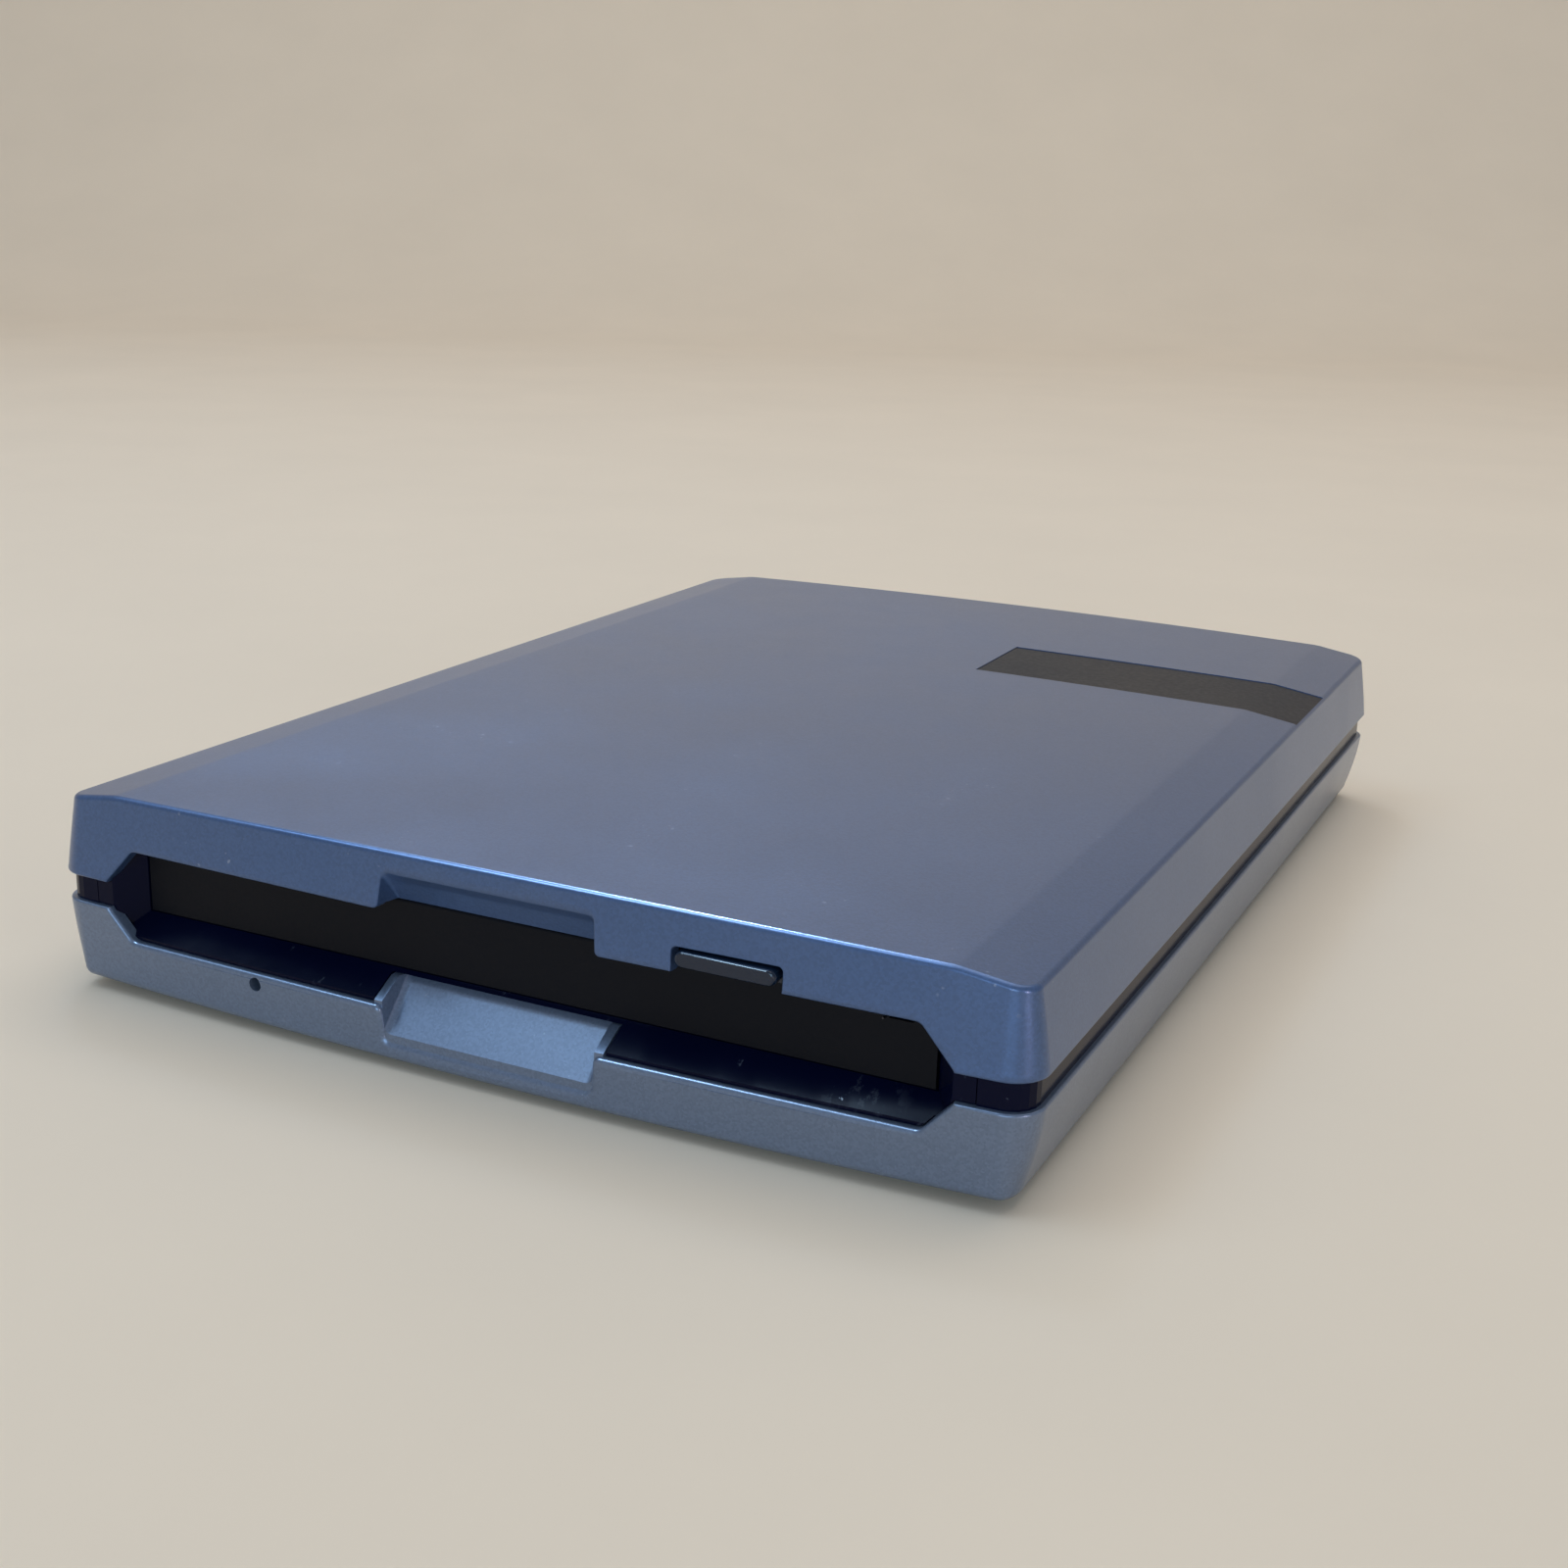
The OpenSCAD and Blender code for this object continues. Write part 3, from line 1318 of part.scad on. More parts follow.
lens_gap = 0.4;
lens_block = pocket_half - lens_gap;
lens_r = 2.1;
lens_rise = 0.4;
module lens_holder() color(black_plastic)
    difference() {
        span([-lens_block, lens_block], [lens_y - lens_block, lens_y + lens_block],
            [carriage_low + sheet + focus_travel + run, carriage_top - fit]);
        rod_z([0, lens_y, carriage_low], lens_r, case_h);
    }
module objective_lens() color([0.75, 0.85, 0.95], 0.6)
    translate([0, lens_y, 0])
        intersection() {
            rod_z([0, 0, carriage_low + sheet * 2 + focus_travel], lens_r, lens_ball_r);
            translate([0, 0, carriage_top + lens_rise - lens_ball_r])
                sphere(r = lens_ball_r);
        }
lens_ball_r = 4.5;

// Flat lead of the head, standing on edge in a bow behind the carriage
flex_t = 0.15;
flex_h = 1.5;
flex_x = 8;
flex_bow = 4;
flex_steps = 12;
module carriage_flex() color(copper) {
    y0 = lens_y + carriage_half_l;
    l = head_y[1] - y0;
    place = function(i, side)
        let (t = i / flex_steps)
        [flex_x - flex_bow * pow(sin(180 * t), 2) + side * flex_t, y0 + l * t];
    translate([0, 0, rail_z - flex_h / 2])
        linear_extrude(flex_h)
            polygon(concat(
                [for (i = [0 : flex_steps]) place(i, 0)],
                [for (i = [flex_steps : -1 : 0]) place(i, 1)]));
}

block_x = 18;
block_h = 7.2;
block_y = [head_y[1] + rail_seat, block_end];
laser_r = 2.8;
laser_l = 5;
detector_w = 9;
detector_h = 6;
module optics_block() color(zinc)
    difference() {
        span([-block_x, block_x], block_y, [deck_z + base_rise, deck_z + base_rise + block_h]);
        for (s = [-1, 1])
            span([s * block_x / 2 - wall * 2, s * block_x / 2 + wall * 2],
                [block_y[0] + wall, block_y[1] - wall],
                [deck_z + base_rise + block_h / 2, deck_z + base_rise + block_h + over]);
    }
module laser_diode() color(brass)
    rod_x([-block_x - laser_l, (block_y[0] + block_y[1]) / 2, deck_z + base_rise + block_h / 2],
        laser_r, laser_l);
module detector_board() color(board_green) {
    y = (block_y[0] + block_y[1]) / 2;
    span([block_x, block_x + board_t], [y - detector_w / 2, y + detector_w / 2],
        [deck_z + base_rise + fit, deck_z + base_rise + fit + detector_h]);
}

// Bias magnet under the cover, above the lens's path
bias_core_w = 3;
bias_h = 1.3;
module bias_magnet() color(copper) {
    span([-bias_half_w + gap, bias_half_w - gap], [bias_y[0] + gap, bias_y[1] - gap],
        [cover_z - bias_h / 2, cover_z]);
    span([-bias_core_w / 2, bias_core_w / 2], [bias_y[0] + over, bias_y[1] - over],
        [cover_z - bias_h, cover_z - bias_h / 2]);
}

// Control board under the deck
control_x = 36;
control_front = 14;
control_back = 12;
control_y = [chassis_y + control_front, chassis_end - control_back];
chip_t = 0.55;
chip_shares = [[-0.7, 0.05, 0.4], [0.1, 0.04, 0.5], [-0.8, 0.26, 0.28], [0.45, 0.27, 0.27],
    [0.8, 0.6, 0.15]];
module control_board() color(board_green)
    difference() {
        span([-control_x, control_x], control_y, [board_z, board_z + board_t]);
        at_board_posts()
            rod_z([0, 0, board_z - over], board_screw_r + fit, board_t + over * 2);
    }
module board_screws() color(steel)
    at_board_posts()
        translate([0, 0, board_z - board_head_h])
            screw(board_head_r, board_head_h, board_screw_r, board_t + board_gap);
board_head_r = 1.5;
board_head_h = 0.5;
module control_chips() color([0.1, 0.1, 0.1])
    for (s = chip_shares) {
        x = s[0] * control_x;
        y = control_y[0] + s[1] * (control_y[1] - control_y[0]);
        chip = s[2] * control_x;
        span([x, x + chip], [y, y + chip], [board_z + board_t, board_z + board_t + chip_t]);
    }

module interface_board() color(board_green)
    difference() {
        span([-rear_board_w / 2, rear_board_w / 2], [rear_board_y, rear_board_end],
            [board_z, board_z + board_t]);
        both_sides()
            rod_z([rear_post_x, rear_post_y, board_z - over], rear_screw_r + fit, board_t + over * 2);
    }
module interface_screws() color(steel)
    both_sides()
        translate([rear_post_x, rear_post_y, board_z + board_t + rear_head_h])
            mirror([0, 0, 1])
                screw(rear_head_r, rear_head_h, rear_screw_r, board_t + rear_bite);
rear_bite = 0.5;
module interface_chips() color([0.1, 0.1, 0.1])
    span([-rear_chip / 2, rear_chip / 2], [rear_board_end - rear_chip - over, rear_board_end - over],
        [board_z + board_t, board_z + board_t + chip_t * 2]);
rear_chip = 7;

socket_wall = 0.4;
tongue_h = 1;
tongue_w = 5;
module usb_socket() color(steel) {
    y0 = socket_end - usb_l;
    tongue_z = board_z + board_t + usb_h / 2;
    difference() {
        prism_y(usb_outline(0), y0, usb_l);
        prism_y(usb_outline(-socket_wall), y0 + socket_wall * 2, usb_l);
    }
    span([usb_x - tongue_w / 2, usb_x + tongue_w / 2], [y0 + socket_wall, socket_end - over],
        [tongue_z - tongue_h / 2, tongue_z + tongue_h / 2]);
}
dc_pin_r = 0.6;
module dc_jack() color(black_plastic) {
    y0 = socket_end - dc_l;
    y1 = rear_board_end + rear_board_gap / 2;
    difference() {
        union() {
            span([dc_x - dc_w / 2, dc_x + dc_w / 2], [y0, y1], [board_z + board_t, dc_z + dc_h / 2]);
            rod_y([dc_x, y1 - over, dc_z], dc_hole_r, socket_end - y1 + over);
        }
        rod_y([dc_x, y0 + over, dc_z], dc_hole_r - socket_wall, dc_l);
    }
    rod_y([dc_x, y0, dc_z], dc_pin_r, dc_l - over);
}

// Flat cable from the control board to the rear board
cable_w = 20;
cable_t = 0.3;
cable_lap = 4;
module link_cable() color([0.8, 0.8, 0.78])
    span([-cable_w / 2, cable_w / 2], [control_y[1] - cable_lap, rear_board_y + cable_lap / 2],
        [board_z + board_t, board_z + board_t + cable_t]);

upper_shell();
lower_shell();
mid_frame();
front_bezel();
slot_door();
door_spring();
eject_button();
button_spring();
switch_plunger();
eject_switch();
front_board();
status_led();
label_plate();
rubber_feet();
case_screws();
chassis();
chassis_dampers();
chassis_screws();
top_cover();
cover_screws();
foam_pads();
cartridge_holder();
cam_slide();
motor_bracket();
loading_motor();
motor_worm();
drive_gear();
shutter_lever();
lever_spring();
spindle_motor();
turntable();
optics_base();
guide_rails();
optical_carriage();
voice_coils();
coil_magnets();
coil_yokes();
lens_holder();
objective_lens();
carriage_flex();
optics_block();
laser_diode();
detector_board();
bias_magnet();
control_board();
board_screws();
control_chips();
interface_board();
interface_screws();
usb_socket();
dc_jack();
interface_chips();
link_cable();
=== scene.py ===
"""Looks of an external magneto-optical disk drive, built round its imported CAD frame."""
import json
import math

import bmesh
import bpy
from mathutils import Matrix, Vector


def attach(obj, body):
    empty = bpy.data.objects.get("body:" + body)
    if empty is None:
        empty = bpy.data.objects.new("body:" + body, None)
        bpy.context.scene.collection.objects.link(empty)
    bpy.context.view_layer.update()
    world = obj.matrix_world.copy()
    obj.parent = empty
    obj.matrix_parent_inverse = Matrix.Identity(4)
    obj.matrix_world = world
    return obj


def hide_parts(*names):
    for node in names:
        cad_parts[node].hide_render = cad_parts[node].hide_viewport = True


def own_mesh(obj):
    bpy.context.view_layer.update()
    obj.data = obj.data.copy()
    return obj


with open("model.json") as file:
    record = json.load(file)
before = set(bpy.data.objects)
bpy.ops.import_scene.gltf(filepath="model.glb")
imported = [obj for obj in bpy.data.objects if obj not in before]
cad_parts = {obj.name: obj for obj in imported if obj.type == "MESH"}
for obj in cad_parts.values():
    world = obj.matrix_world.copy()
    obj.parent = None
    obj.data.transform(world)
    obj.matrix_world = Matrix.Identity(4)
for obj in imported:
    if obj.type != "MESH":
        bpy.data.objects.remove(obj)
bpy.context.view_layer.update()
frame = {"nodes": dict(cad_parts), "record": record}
nodes = frame["nodes"]
MM = 0.001

# Camera
CAMERA_AZIMUTH = math.radians(25.5)
CAMERA_ELEVATION = math.radians(16.618)
CAMERA_ROLL = math.radians(1.752)
CAMERA_PLACE = Vector((102.79, -225.47, 86.17)) * MM
FOCAL_SHARE = 2037.8 / 1600
SENSOR = 36.0


def make_camera():
    """The photograph's camera: azimuth, elevation, roll and distance as solved."""
    data = bpy.data.cameras.new("photo_camera")
    data.sensor_width = SENSOR
    data.sensor_fit = "HORIZONTAL"
    data.lens = FOCAL_SHARE * SENSOR
    data.clip_start = 0.01
    data.clip_end = 20
    camera = bpy.data.objects.new("photo_camera", data)
    bpy.context.scene.collection.objects.link(camera)
    forward = Vector((
        -math.sin(CAMERA_AZIMUTH) * math.cos(CAMERA_ELEVATION),
        math.cos(CAMERA_AZIMUTH) * math.cos(CAMERA_ELEVATION),
        -math.sin(CAMERA_ELEVATION)))
    right = Vector((math.cos(CAMERA_AZIMUTH), math.sin(CAMERA_AZIMUTH), 0))
    up = right.cross(forward)
    cos_r, sin_r = math.cos(CAMERA_ROLL), math.sin(CAMERA_ROLL)
    right_rolled = right * cos_r + up * sin_r
    up_rolled = up * cos_r - right * sin_r
    turn = Matrix((right_rolled, up_rolled, -forward)).transposed()
    camera.matrix_world = Matrix.Translation(CAMERA_PLACE) @ turn.to_4x4()
    bpy.context.scene.camera = camera


make_camera()


# Node materials
class Tree:
    """A material's node tree with short calls for the nodes used here."""

    def __init__(self, name):
        self.material = bpy.data.materials.new(name)
        self.material.use_nodes = True
        self.nodes = self.material.node_tree.nodes
        self.links = self.material.node_tree.links
        self.shader = self.nodes["Principled BSDF"]
        self.place = self.nodes.new("ShaderNodeTexCoord").outputs["Object"]

    def link(self, a, b):
        self.links.new(a, b)

    def stretched(self, scale):
        """The object's coordinates, scaled along each axis."""
        node = self.nodes.new("ShaderNodeMapping")
        node.inputs["Scale"].default_value = scale
        self.link(self.place, node.inputs["Vector"])
        return node.outputs["Vector"]

    def noise(self, scale, detail=3, rough=0.55, stretch=None):
        node = self.nodes.new("ShaderNodeTexNoise")
        node.inputs["Scale"].default_value = scale
        node.inputs["Detail"].default_value = detail
        node.inputs["Roughness"].default_value = rough
        self.link(self.stretched(stretch) if stretch else self.place, node.inputs["Vector"])
        return node.outputs["Fac"]

    def voronoi(self, scale):
        node = self.nodes.new("ShaderNodeTexVoronoi")
        node.inputs["Scale"].default_value = scale
        self.link(self.place, node.inputs["Vector"])
        return node

    def span(self, value, low, high, to_low=0.0, to_high=1.0):
        """A value's run from low to high, mapped to another run and held at its ends."""
        node = self.nodes.new("ShaderNodeMapRange")
        for key, v in (("From Min", low), ("From Max", high), ("To Min", to_low), ("To Max", to_high)):
            node.inputs[key].default_value = v
        self.link(value, node.inputs["Value"])
        return node.outputs["Result"]

    def calc(self, kind, a, b):
        """A sum, product or other step between two values or outputs."""
        node = self.nodes.new("ShaderNodeMath")
        node.operation = kind
        for socket, v in zip(node.inputs, (a, b)):
            if isinstance(v, (int, float)):
                socket.default_value = v
            else:
                self.link(v, socket)
        return node.outputs[0]

    def mix(self, factor, a, b):
        """A colour between a and b; both may be tuples or outputs."""
        node = self.nodes.new("ShaderNodeMix")
        node.data_type = "RGBA"
        for key, v in ((0, factor), (6, a), (7, b)):
            if isinstance(v, (int, float)):
                node.inputs[key].default_value = v
            elif isinstance(v, tuple):
                node.inputs[key].default_value = (*v, 1)
            else:
                self.link(v, node.inputs[key])
        return node.outputs[2]

    def away(self, place):
        """Distance from a point of the object, in metres."""
        node = self.nodes.new("ShaderNodeVectorMath")
        node.operation = "DISTANCE"
        self.link(self.place, node.inputs[0])
        node.inputs[1].default_value = place
        return node.outputs["Value"]

    def bump(self, height, strength, distance):
        node = self.nodes.new("ShaderNodeBump")
        node.inputs["Strength"].default_value = strength
        node.inputs["Distance"].default_value = distance
        self.link(height, node.inputs["Height"])
        self.link(node.outputs["Normal"], self.shader.inputs["Normal"])

    def set(self, **values):
        for key, v in values.items():
            self.shader.inputs[key.replace("_", " ")].default_value = v


def linear(*srgb):
    """A colour given as sRGB 0 to 255, in linear light."""
    out = []
    for c in srgb:
        c = c / 255
        out.append(c / 12.92 if c <= 0.04045 else ((c + 0.055) / 1.055) ** 2.4)
    return tuple(out)


def shade(colour, share):
    """The colour made lighter or darker by a share."""
    return tuple(c * share for c in colour)


def plain_finish(name, colour, rough, metallic=0.0, spread=0.12, grain=2600, depth=0.00003, coat=0.0,
                 stretch=None, rough_spread=0.08, specular=0.5):
    """Moulded, coated or drawn stuff: mottled colour, uneven gloss and a fine grain."""
    t = Tree(name)
    broad = t.noise(45, 4)
    fine = t.noise(grain, 2, stretch=stretch)
    mottle = t.calc("MULTIPLY", t.calc("ADD", broad, fine), 0.5)
    t.link(t.mix(mottle, shade(colour, 1 - spread), shade(colour, 1 + spread)), t.shader.inputs["Base Color"])
    t.link(t.span(mottle, 0.3, 0.7, rough - rough_spread, rough + rough_spread), t.shader.inputs["Roughness"])
    t.bump(fine, 0.35, depth)
    t.set(Metallic=metallic, Coat_Weight=coat, Specular_IOR_Level=specular)
    return t


def shell_paint(name, base):
    """Blue-grey metallic paint: fine flakes, a soft sheen and a thin clear coat."""
    t = Tree(name)
    flake = t.voronoi(4200)
    sparkle = t.nodes.new("ShaderNodeSeparateColor")
    t.link(flake.outputs["Color"], sparkle.inputs["Color"])
    cloud = t.noise(30, 5)
    tone = t.mix(t.span(sparkle.outputs["Red"], 0, 1, 0.2, 0.8), shade(base, 0.84), shade(base, 1.16))
    tone = t.mix(t.span(cloud, 0.35, 0.65, 0.0, 0.1), tone, linear(112, 114, 124))
    speck = t.calc("MULTIPLY", t.span(t.noise(1300, 1), 0.73, 0.76), t.span(t.noise(60, 3), 0.5, 0.6))
    tone = t.mix(t.calc("MULTIPLY", speck, 0.5), tone, linear(160, 166, 180))
    t.link(tone, t.shader.inputs["Base Color"])
    gloss = t.span(cloud, 0.3, 0.7, 0.29, 0.37)
    t.link(t.calc("ADD", gloss, t.calc("MULTIPLY", speck, 0.2)), t.shader.inputs["Roughness"])
    t.bump(t.noise(3200, 2), 0.12, 0.00002)
    t.set(Metallic=0.45, Coat_Weight=0.3, Coat_Roughness=0.1)
    return t


def upper_paint():
    return shell_paint("shell_paint", linear(71, 95, 135))


# The lower shell's copy of the paint is lighter and greyer than the upper one: painted light standing in for
# light bounced up from the floor.
def lower_paint_bounce_lit():
    return shell_paint("lower_shell_paint_painted_bounce_light", linear(109, 122, 144))


MATERIALS = {}


def made(name, maker):
    """The material of this name, made at its first use."""
    if name not in MATERIALS:
        MATERIALS[name] = maker()
    return MATERIALS[name].material


def smoke():
    """The button's smoked plastic."""
    t = plain_finish("smoke_lens", linear(19, 32, 50), 0.14, spread=0.08, grain=900, depth=0.00001,
                     rough_spread=0.05)
    t.set(Transmission_Weight=0.05, IOR=1.49, Specular_IOR_Level=0.35, Coat_Weight=0.3, Coat_Roughness=0.08)
    return t


def glass():
    """The objective lens."""
    t = plain_finish("lens_glass", linear(190, 200, 225), 0.05, spread=0.04, grain=400, depth=0.000005,
                     rough_spread=0.03)
    t.set(Transmission_Weight=0.9, IOR=1.52)
    return t


# Marks on the funnel's floor, in mm
SCUFF_PLACE = (39.4, -73.8, 8.0)
CHIP_PLACE = (37.4, -74.3, 7.72)


def black_with_painted_blue_reflection():
    """The bezel's black plastic with a painted blue reflection in its colour, small pale scuffs, and a worn
    spot with a chip on its floor.
    """
    t = Tree("black_with_painted_blue_reflection")
    fine = t.noise(2400, 2)
    cloud = t.noise(60, 4)
    # The blue in this black is a painted reflection of blue light, not the plastic's own colour.
    base = t.mix(cloud, linear(3, 6, 24), linear(7, 12, 42))
    worn = t.span(t.away(Vector(SCUFF_PLACE) * MM), 0.005, 0.002)
    worn = t.calc("MULTIPLY", worn, t.span(t.noise(650, 4, 0.7, (1, 0.35, 1)), 0.55, 0.6))
    patch = t.span(t.noise(90, 2), 0.52, 0.6)
    scuff = t.calc("MULTIPLY", t.span(t.noise(900, 3, 0.6, (1, 0.3, 1)), 0.66, 0.72), patch)
    scuff = t.calc("MAXIMUM", scuff, t.calc("MULTIPLY", worn, 0.25))
    ragged = t.calc("MULTIPLY", t.noise(2200, 3), 0.0016)
    chip = t.span(t.calc("ADD", t.away(Vector(CHIP_PLACE) * MM), ragged), 0.001, 0.00092)
    base = t.mix(t.calc("MULTIPLY", scuff, 0.4), base, linear(100, 106, 120))
    t.link(t.mix(chip, base, linear(180, 194, 214)), t.shader.inputs["Base Color"])
    gloss = t.span(cloud, 0.3, 0.7, 0.12, 0.2)
    t.link(t.calc("ADD", gloss, t.calc("MULTIPLY", scuff, 0.4)), t.shader.inputs["Roughness"])
    t.bump(fine, 0.2, 0.00001)
    t.set(Specular_IOR_Level=0.09)
    return t


# Materials with a maker of their own, by the record's slot
OWN_FINISHES = {
    "shell": ("shell_paint", upper_paint),
    "dark_frame": ("black_with_painted_blue_reflection", black_with_painted_blue_reflection),
    "button": ("smoke_lens", smoke),
    "lens_glass": ("lens_glass", glass),
}
# The other slots: material's name, sRGB colour, roughness and further values of plain_finish
PLAIN_FINISHES = {
    "door": ("door_black", (9, 10, 17), 0.5, dict(spread=0.15, grain=3200, specular=0.15)),
    "label": ("label_black", (46, 45, 50), 0.42, dict(spread=0.1, grain=1600, depth=0.000008, specular=0.12)),
    "rubber": ("black_rubber", (38, 38, 39), 0.75, dict(spread=0.2, grain=1500, depth=0.00006)),
    "foam": ("grey_foam", (62, 62, 64), 0.9, dict(spread=0.35, grain=1900, depth=0.0002)),
    "screw_steel": ("screw_steel", (150, 150, 156), 0.32, dict(metallic=1.0, grain=3000)),
    "spring_steel": ("spring_steel", (74, 74, 80), 0.4, dict(metallic=1.0, spread=0.08, grain=5000)),
    "sheet_steel": ("sheet_steel", (186, 188, 190), 0.34,
                    dict(metallic=1.0, spread=0.1, grain=900, stretch=(1, 0.06, 1))),
    "cast_zinc": ("cast_zinc", (168, 168, 164), 0.48,
                  dict(metallic=0.9, spread=0.14, grain=1500, depth=0.00008)),
    "dark_metal": ("dark_metal", (78, 78, 84), 0.5,
                   dict(metallic=0.8, spread=0.16, grain=1700, depth=0.00006)),
    "brass": ("turned_brass", (196, 164, 92), 0.28, dict(metallic=1.0, spread=0.1, grain=2400)),
    "nylon": ("natural_nylon", (226, 222, 208), 0.42, dict(spread=0.05, grain=1800)),
    "black_plastic": ("black_plastic", (34, 34, 37), 0.5, dict(spread=0.18)),
    "copper_wire": ("copper_wire", (190, 118, 66), 0.3,
                    dict(metallic=0.9, spread=0.2, stretch=(1, 1, 8), depth=0.00012)),
    "board": ("circuit_board", (28, 92, 56), 0.3, dict(spread=0.28, grain=700, coat=0.4)),
    "chip": ("chip_black", (36, 36, 38), 0.6, dict(spread=0.15, grain=3000)),
    "socket_metal": ("socket_metal", (196, 196, 192), 0.26, dict(metallic=1.0, spread=0.08, grain=1800)),
    "led": ("lamp_body", (232, 214, 170), 0.2, dict(spread=0.06, grain=900, coat=0.4)),
    "flat_cable": ("flat_cable", (206, 206, 200), 0.5, dict(grain=1100, stretch=(1, 0.02, 1))),
}


def finish_of(slot):
    """The material of a slot of the record."""
    if slot in OWN_FINISHES:
        return made(*OWN_FINISHES[slot])
    name, colour, rough, more = PLAIN_FINISHES[slot]
    return made(name, lambda: plain_finish(name, linear(*colour), rough, **more))


SLOT_OF = {part["node"]: part["material_slot"] for part in frame["record"]["subparts"]}
BODY_OF = {name: body for body, names in frame["record"]["behaviour"]["bodies"].items() for name in names}

for node_name, slot_name in SLOT_OF.items():
    node = nodes[node_name]
    node.data.materials.clear()
    node.data.materials.append(finish_of(slot_name))

# The two shells, sizes in mm as in the CAD
CASE_W, CASE_D, CASE_H = 112.0, 153.6, 23.1
FOOT_H, WALL, CORNER_R = 0.8, 1.5, 3.5
RIM_Z, GROOVE_H = 10.2, 2.9
TOP_CROWN, SHOULDER_W, SHOULDER_DROP = 0.73, 8.3, 1.1
BOTTOM_CROWN, FRONT_BOW, BACK_BOW = 0.46, 1.5, 0.5
UPPER_LEAN, LOWER_TUCK, LOWER_LEAN, RIM_STEP = 1.15, 1.5, 0.55, 0.15
TOP_EDGE_R, BOTTOM_EDGE_R = 0.6, 1.1
UPPER_POWER, LOWER_POWER = 1.25, 1.6
UPPER_Z = RIM_Z + GROOVE_H
HALF_W, HALF_D = CASE_W / 2, CASE_D / 2
CORNER_X = HALF_W - CORNER_R
SHOULDER_X = HALF_W - SHOULDER_W
SHOULDER_SLOPE = SHOULDER_DROP / (SHOULDER_W - UPPER_LEAN)
LEAST_R = 0.05
RIM_R = 0.28
ARC_STEPS, FLAT_STEPS, SIDE_STEPS, EDGE_STEPS, RIM_STEPS = 12, 28, 10, 8, 4
CREASE = 0.35
HOLLOW_SHARES = (-0.15, 0, 0.25, 0.5, 0.75, 1)
# Distances under which points are one, and the edge angle up to which faces look like one surface
SEAM, SPECK = 0.002, 0.001
SMOOTH_LIMIT, SHELL_WEIGHT, EDGE_WEIGHT = 32, 60, 100


def top_z(x):
    """Height of the top across the case: a crown with a sloping shoulder at each side."""
    u = abs(x)
    if u <= SHOULDER_X:
        return CASE_H - TOP_CROWN * (u / HALF_W) ** 2
    return CASE_H - TOP_CROWN * (SHOULDER_X / HALF_W) ** 2 - (u - SHOULDER_X) * SHOULDER_SLOPE


def bottom_z(x):
    """Height of the bottom across the case."""
    return FOOT_H + BOTTOM_CROWN * (x / HALF_W) ** 2


def ring(share, lift, insets, rim, end, end_shift):
    """One level loop of the case: front from left to right, then back from right to left."""
    side, front, back = (max(CORNER_R - i, LEAST_R) for i in insets)
    angles = [math.radians(90) * i / ARC_STEPS for i in range(ARC_STEPS + 1)]
    arc = [(CORNER_X + side * math.cos(a), math.sin(a)) for a in angles]
    flat = sorted([SHOULDER_X * i / FLAT_STEPS for i in range(-FLAT_STEPS + 1, FLAT_STEPS)]
                  + [s * (SHOULDER_X + c) for s in (-1, 1) for c in (-CREASE, CREASE)])
    line = [(-x, s) for x, s in arc] + [(x, 1.0) for x in flat] + [(x, s) for x, s in reversed(arc)]
    loop = []
    for x, s in line:
        z = rim + share * (end(x) + end_shift - rim) + lift
        loop.append((x, CORNER_R - HALF_D + FRONT_BOW * (x / HALF_W) ** 2 - front * s, z))
    for x, s in reversed(line):
        z = rim + share * (end(x) + end_shift - rim) + lift
        loop.append((x, HALF_D - CORNER_R - BACK_BOW * (x / HALF_W) ** 2 + back * s, z))
    return loop


def upper_ring(t, out, shift, lift=0.0):
    """A ring of the upper shell at a share of its height, moved in by out and up or down by shift."""
    lean = UPPER_LEAN * max(t, 0)
    tuck = UPPER_LEAN * max(t, 0) ** UPPER_POWER
    return ring(t, lift, (out + tuck, out + lean, out + lean), UPPER_Z, top_z, shift)


def lower_ring(t, out, shift, lift=0.0):
    """The same for the lower shell, whose shares run downwards."""
    lean = RIM_STEP + LOWER_LEAN * max(t, 0)
    tuck = RIM_STEP + LOWER_TUCK * max(t, 0) ** LOWER_POWER
    return ring(t, lift, (out + tuck, out + lean, out + lean), RIM_Z, bottom_z, shift)


def outer_rings(level, edge_r, sign):
    """Rings from the rim, over a small rim fillet, up or down the walls and round the edge."""
    rings = []
    for i in range(RIM_STEPS + 1):
        a = math.radians(90) * i / RIM_STEPS
        rings.append(level(0, RIM_R * (1 - math.sin(a)), 0, sign * RIM_R * (1 - math.cos(a))))
    for i in range(1, SIDE_STEPS + 1):
        rings.append(level(i / SIDE_STEPS, 0, -sign * edge_r))
    for i in range(1, EDGE_STEPS + 1):
        a = math.radians(90) * i / EDGE_STEPS
        rings.append(level(1, edge_r * (1 - math.cos(a)), -sign * edge_r * (1 - math.sin(a))))
    return rings


def mesh_object(name, points, faces):
    """An object from points in mm, with its normals outwards."""
    mesh = bpy.data.meshes.new(name)
    mesh.from_pydata([tuple(c * MM for c in p) for p in points], [], faces)
    mesh.validate()
    body = bpy.data.objects.new(name, mesh)
    bpy.context.scene.collection.objects.link(body)
    bm = bmesh.new()
    bm.from_mesh(mesh)
    bmesh.ops.recalc_face_normals(bm, faces=bm.faces)
    bm.to_mesh(mesh)
    bm.free()
    return body


def ring_faces(count, m):
    """The walls between neighbouring rings of m points."""
    faces = []
    for k in range(count - 1):
        for i in range(m):
            a, b = k * m + i, k * m + (i + 1) % m
            faces.append((a, a + m, b + m, b))
    return faces


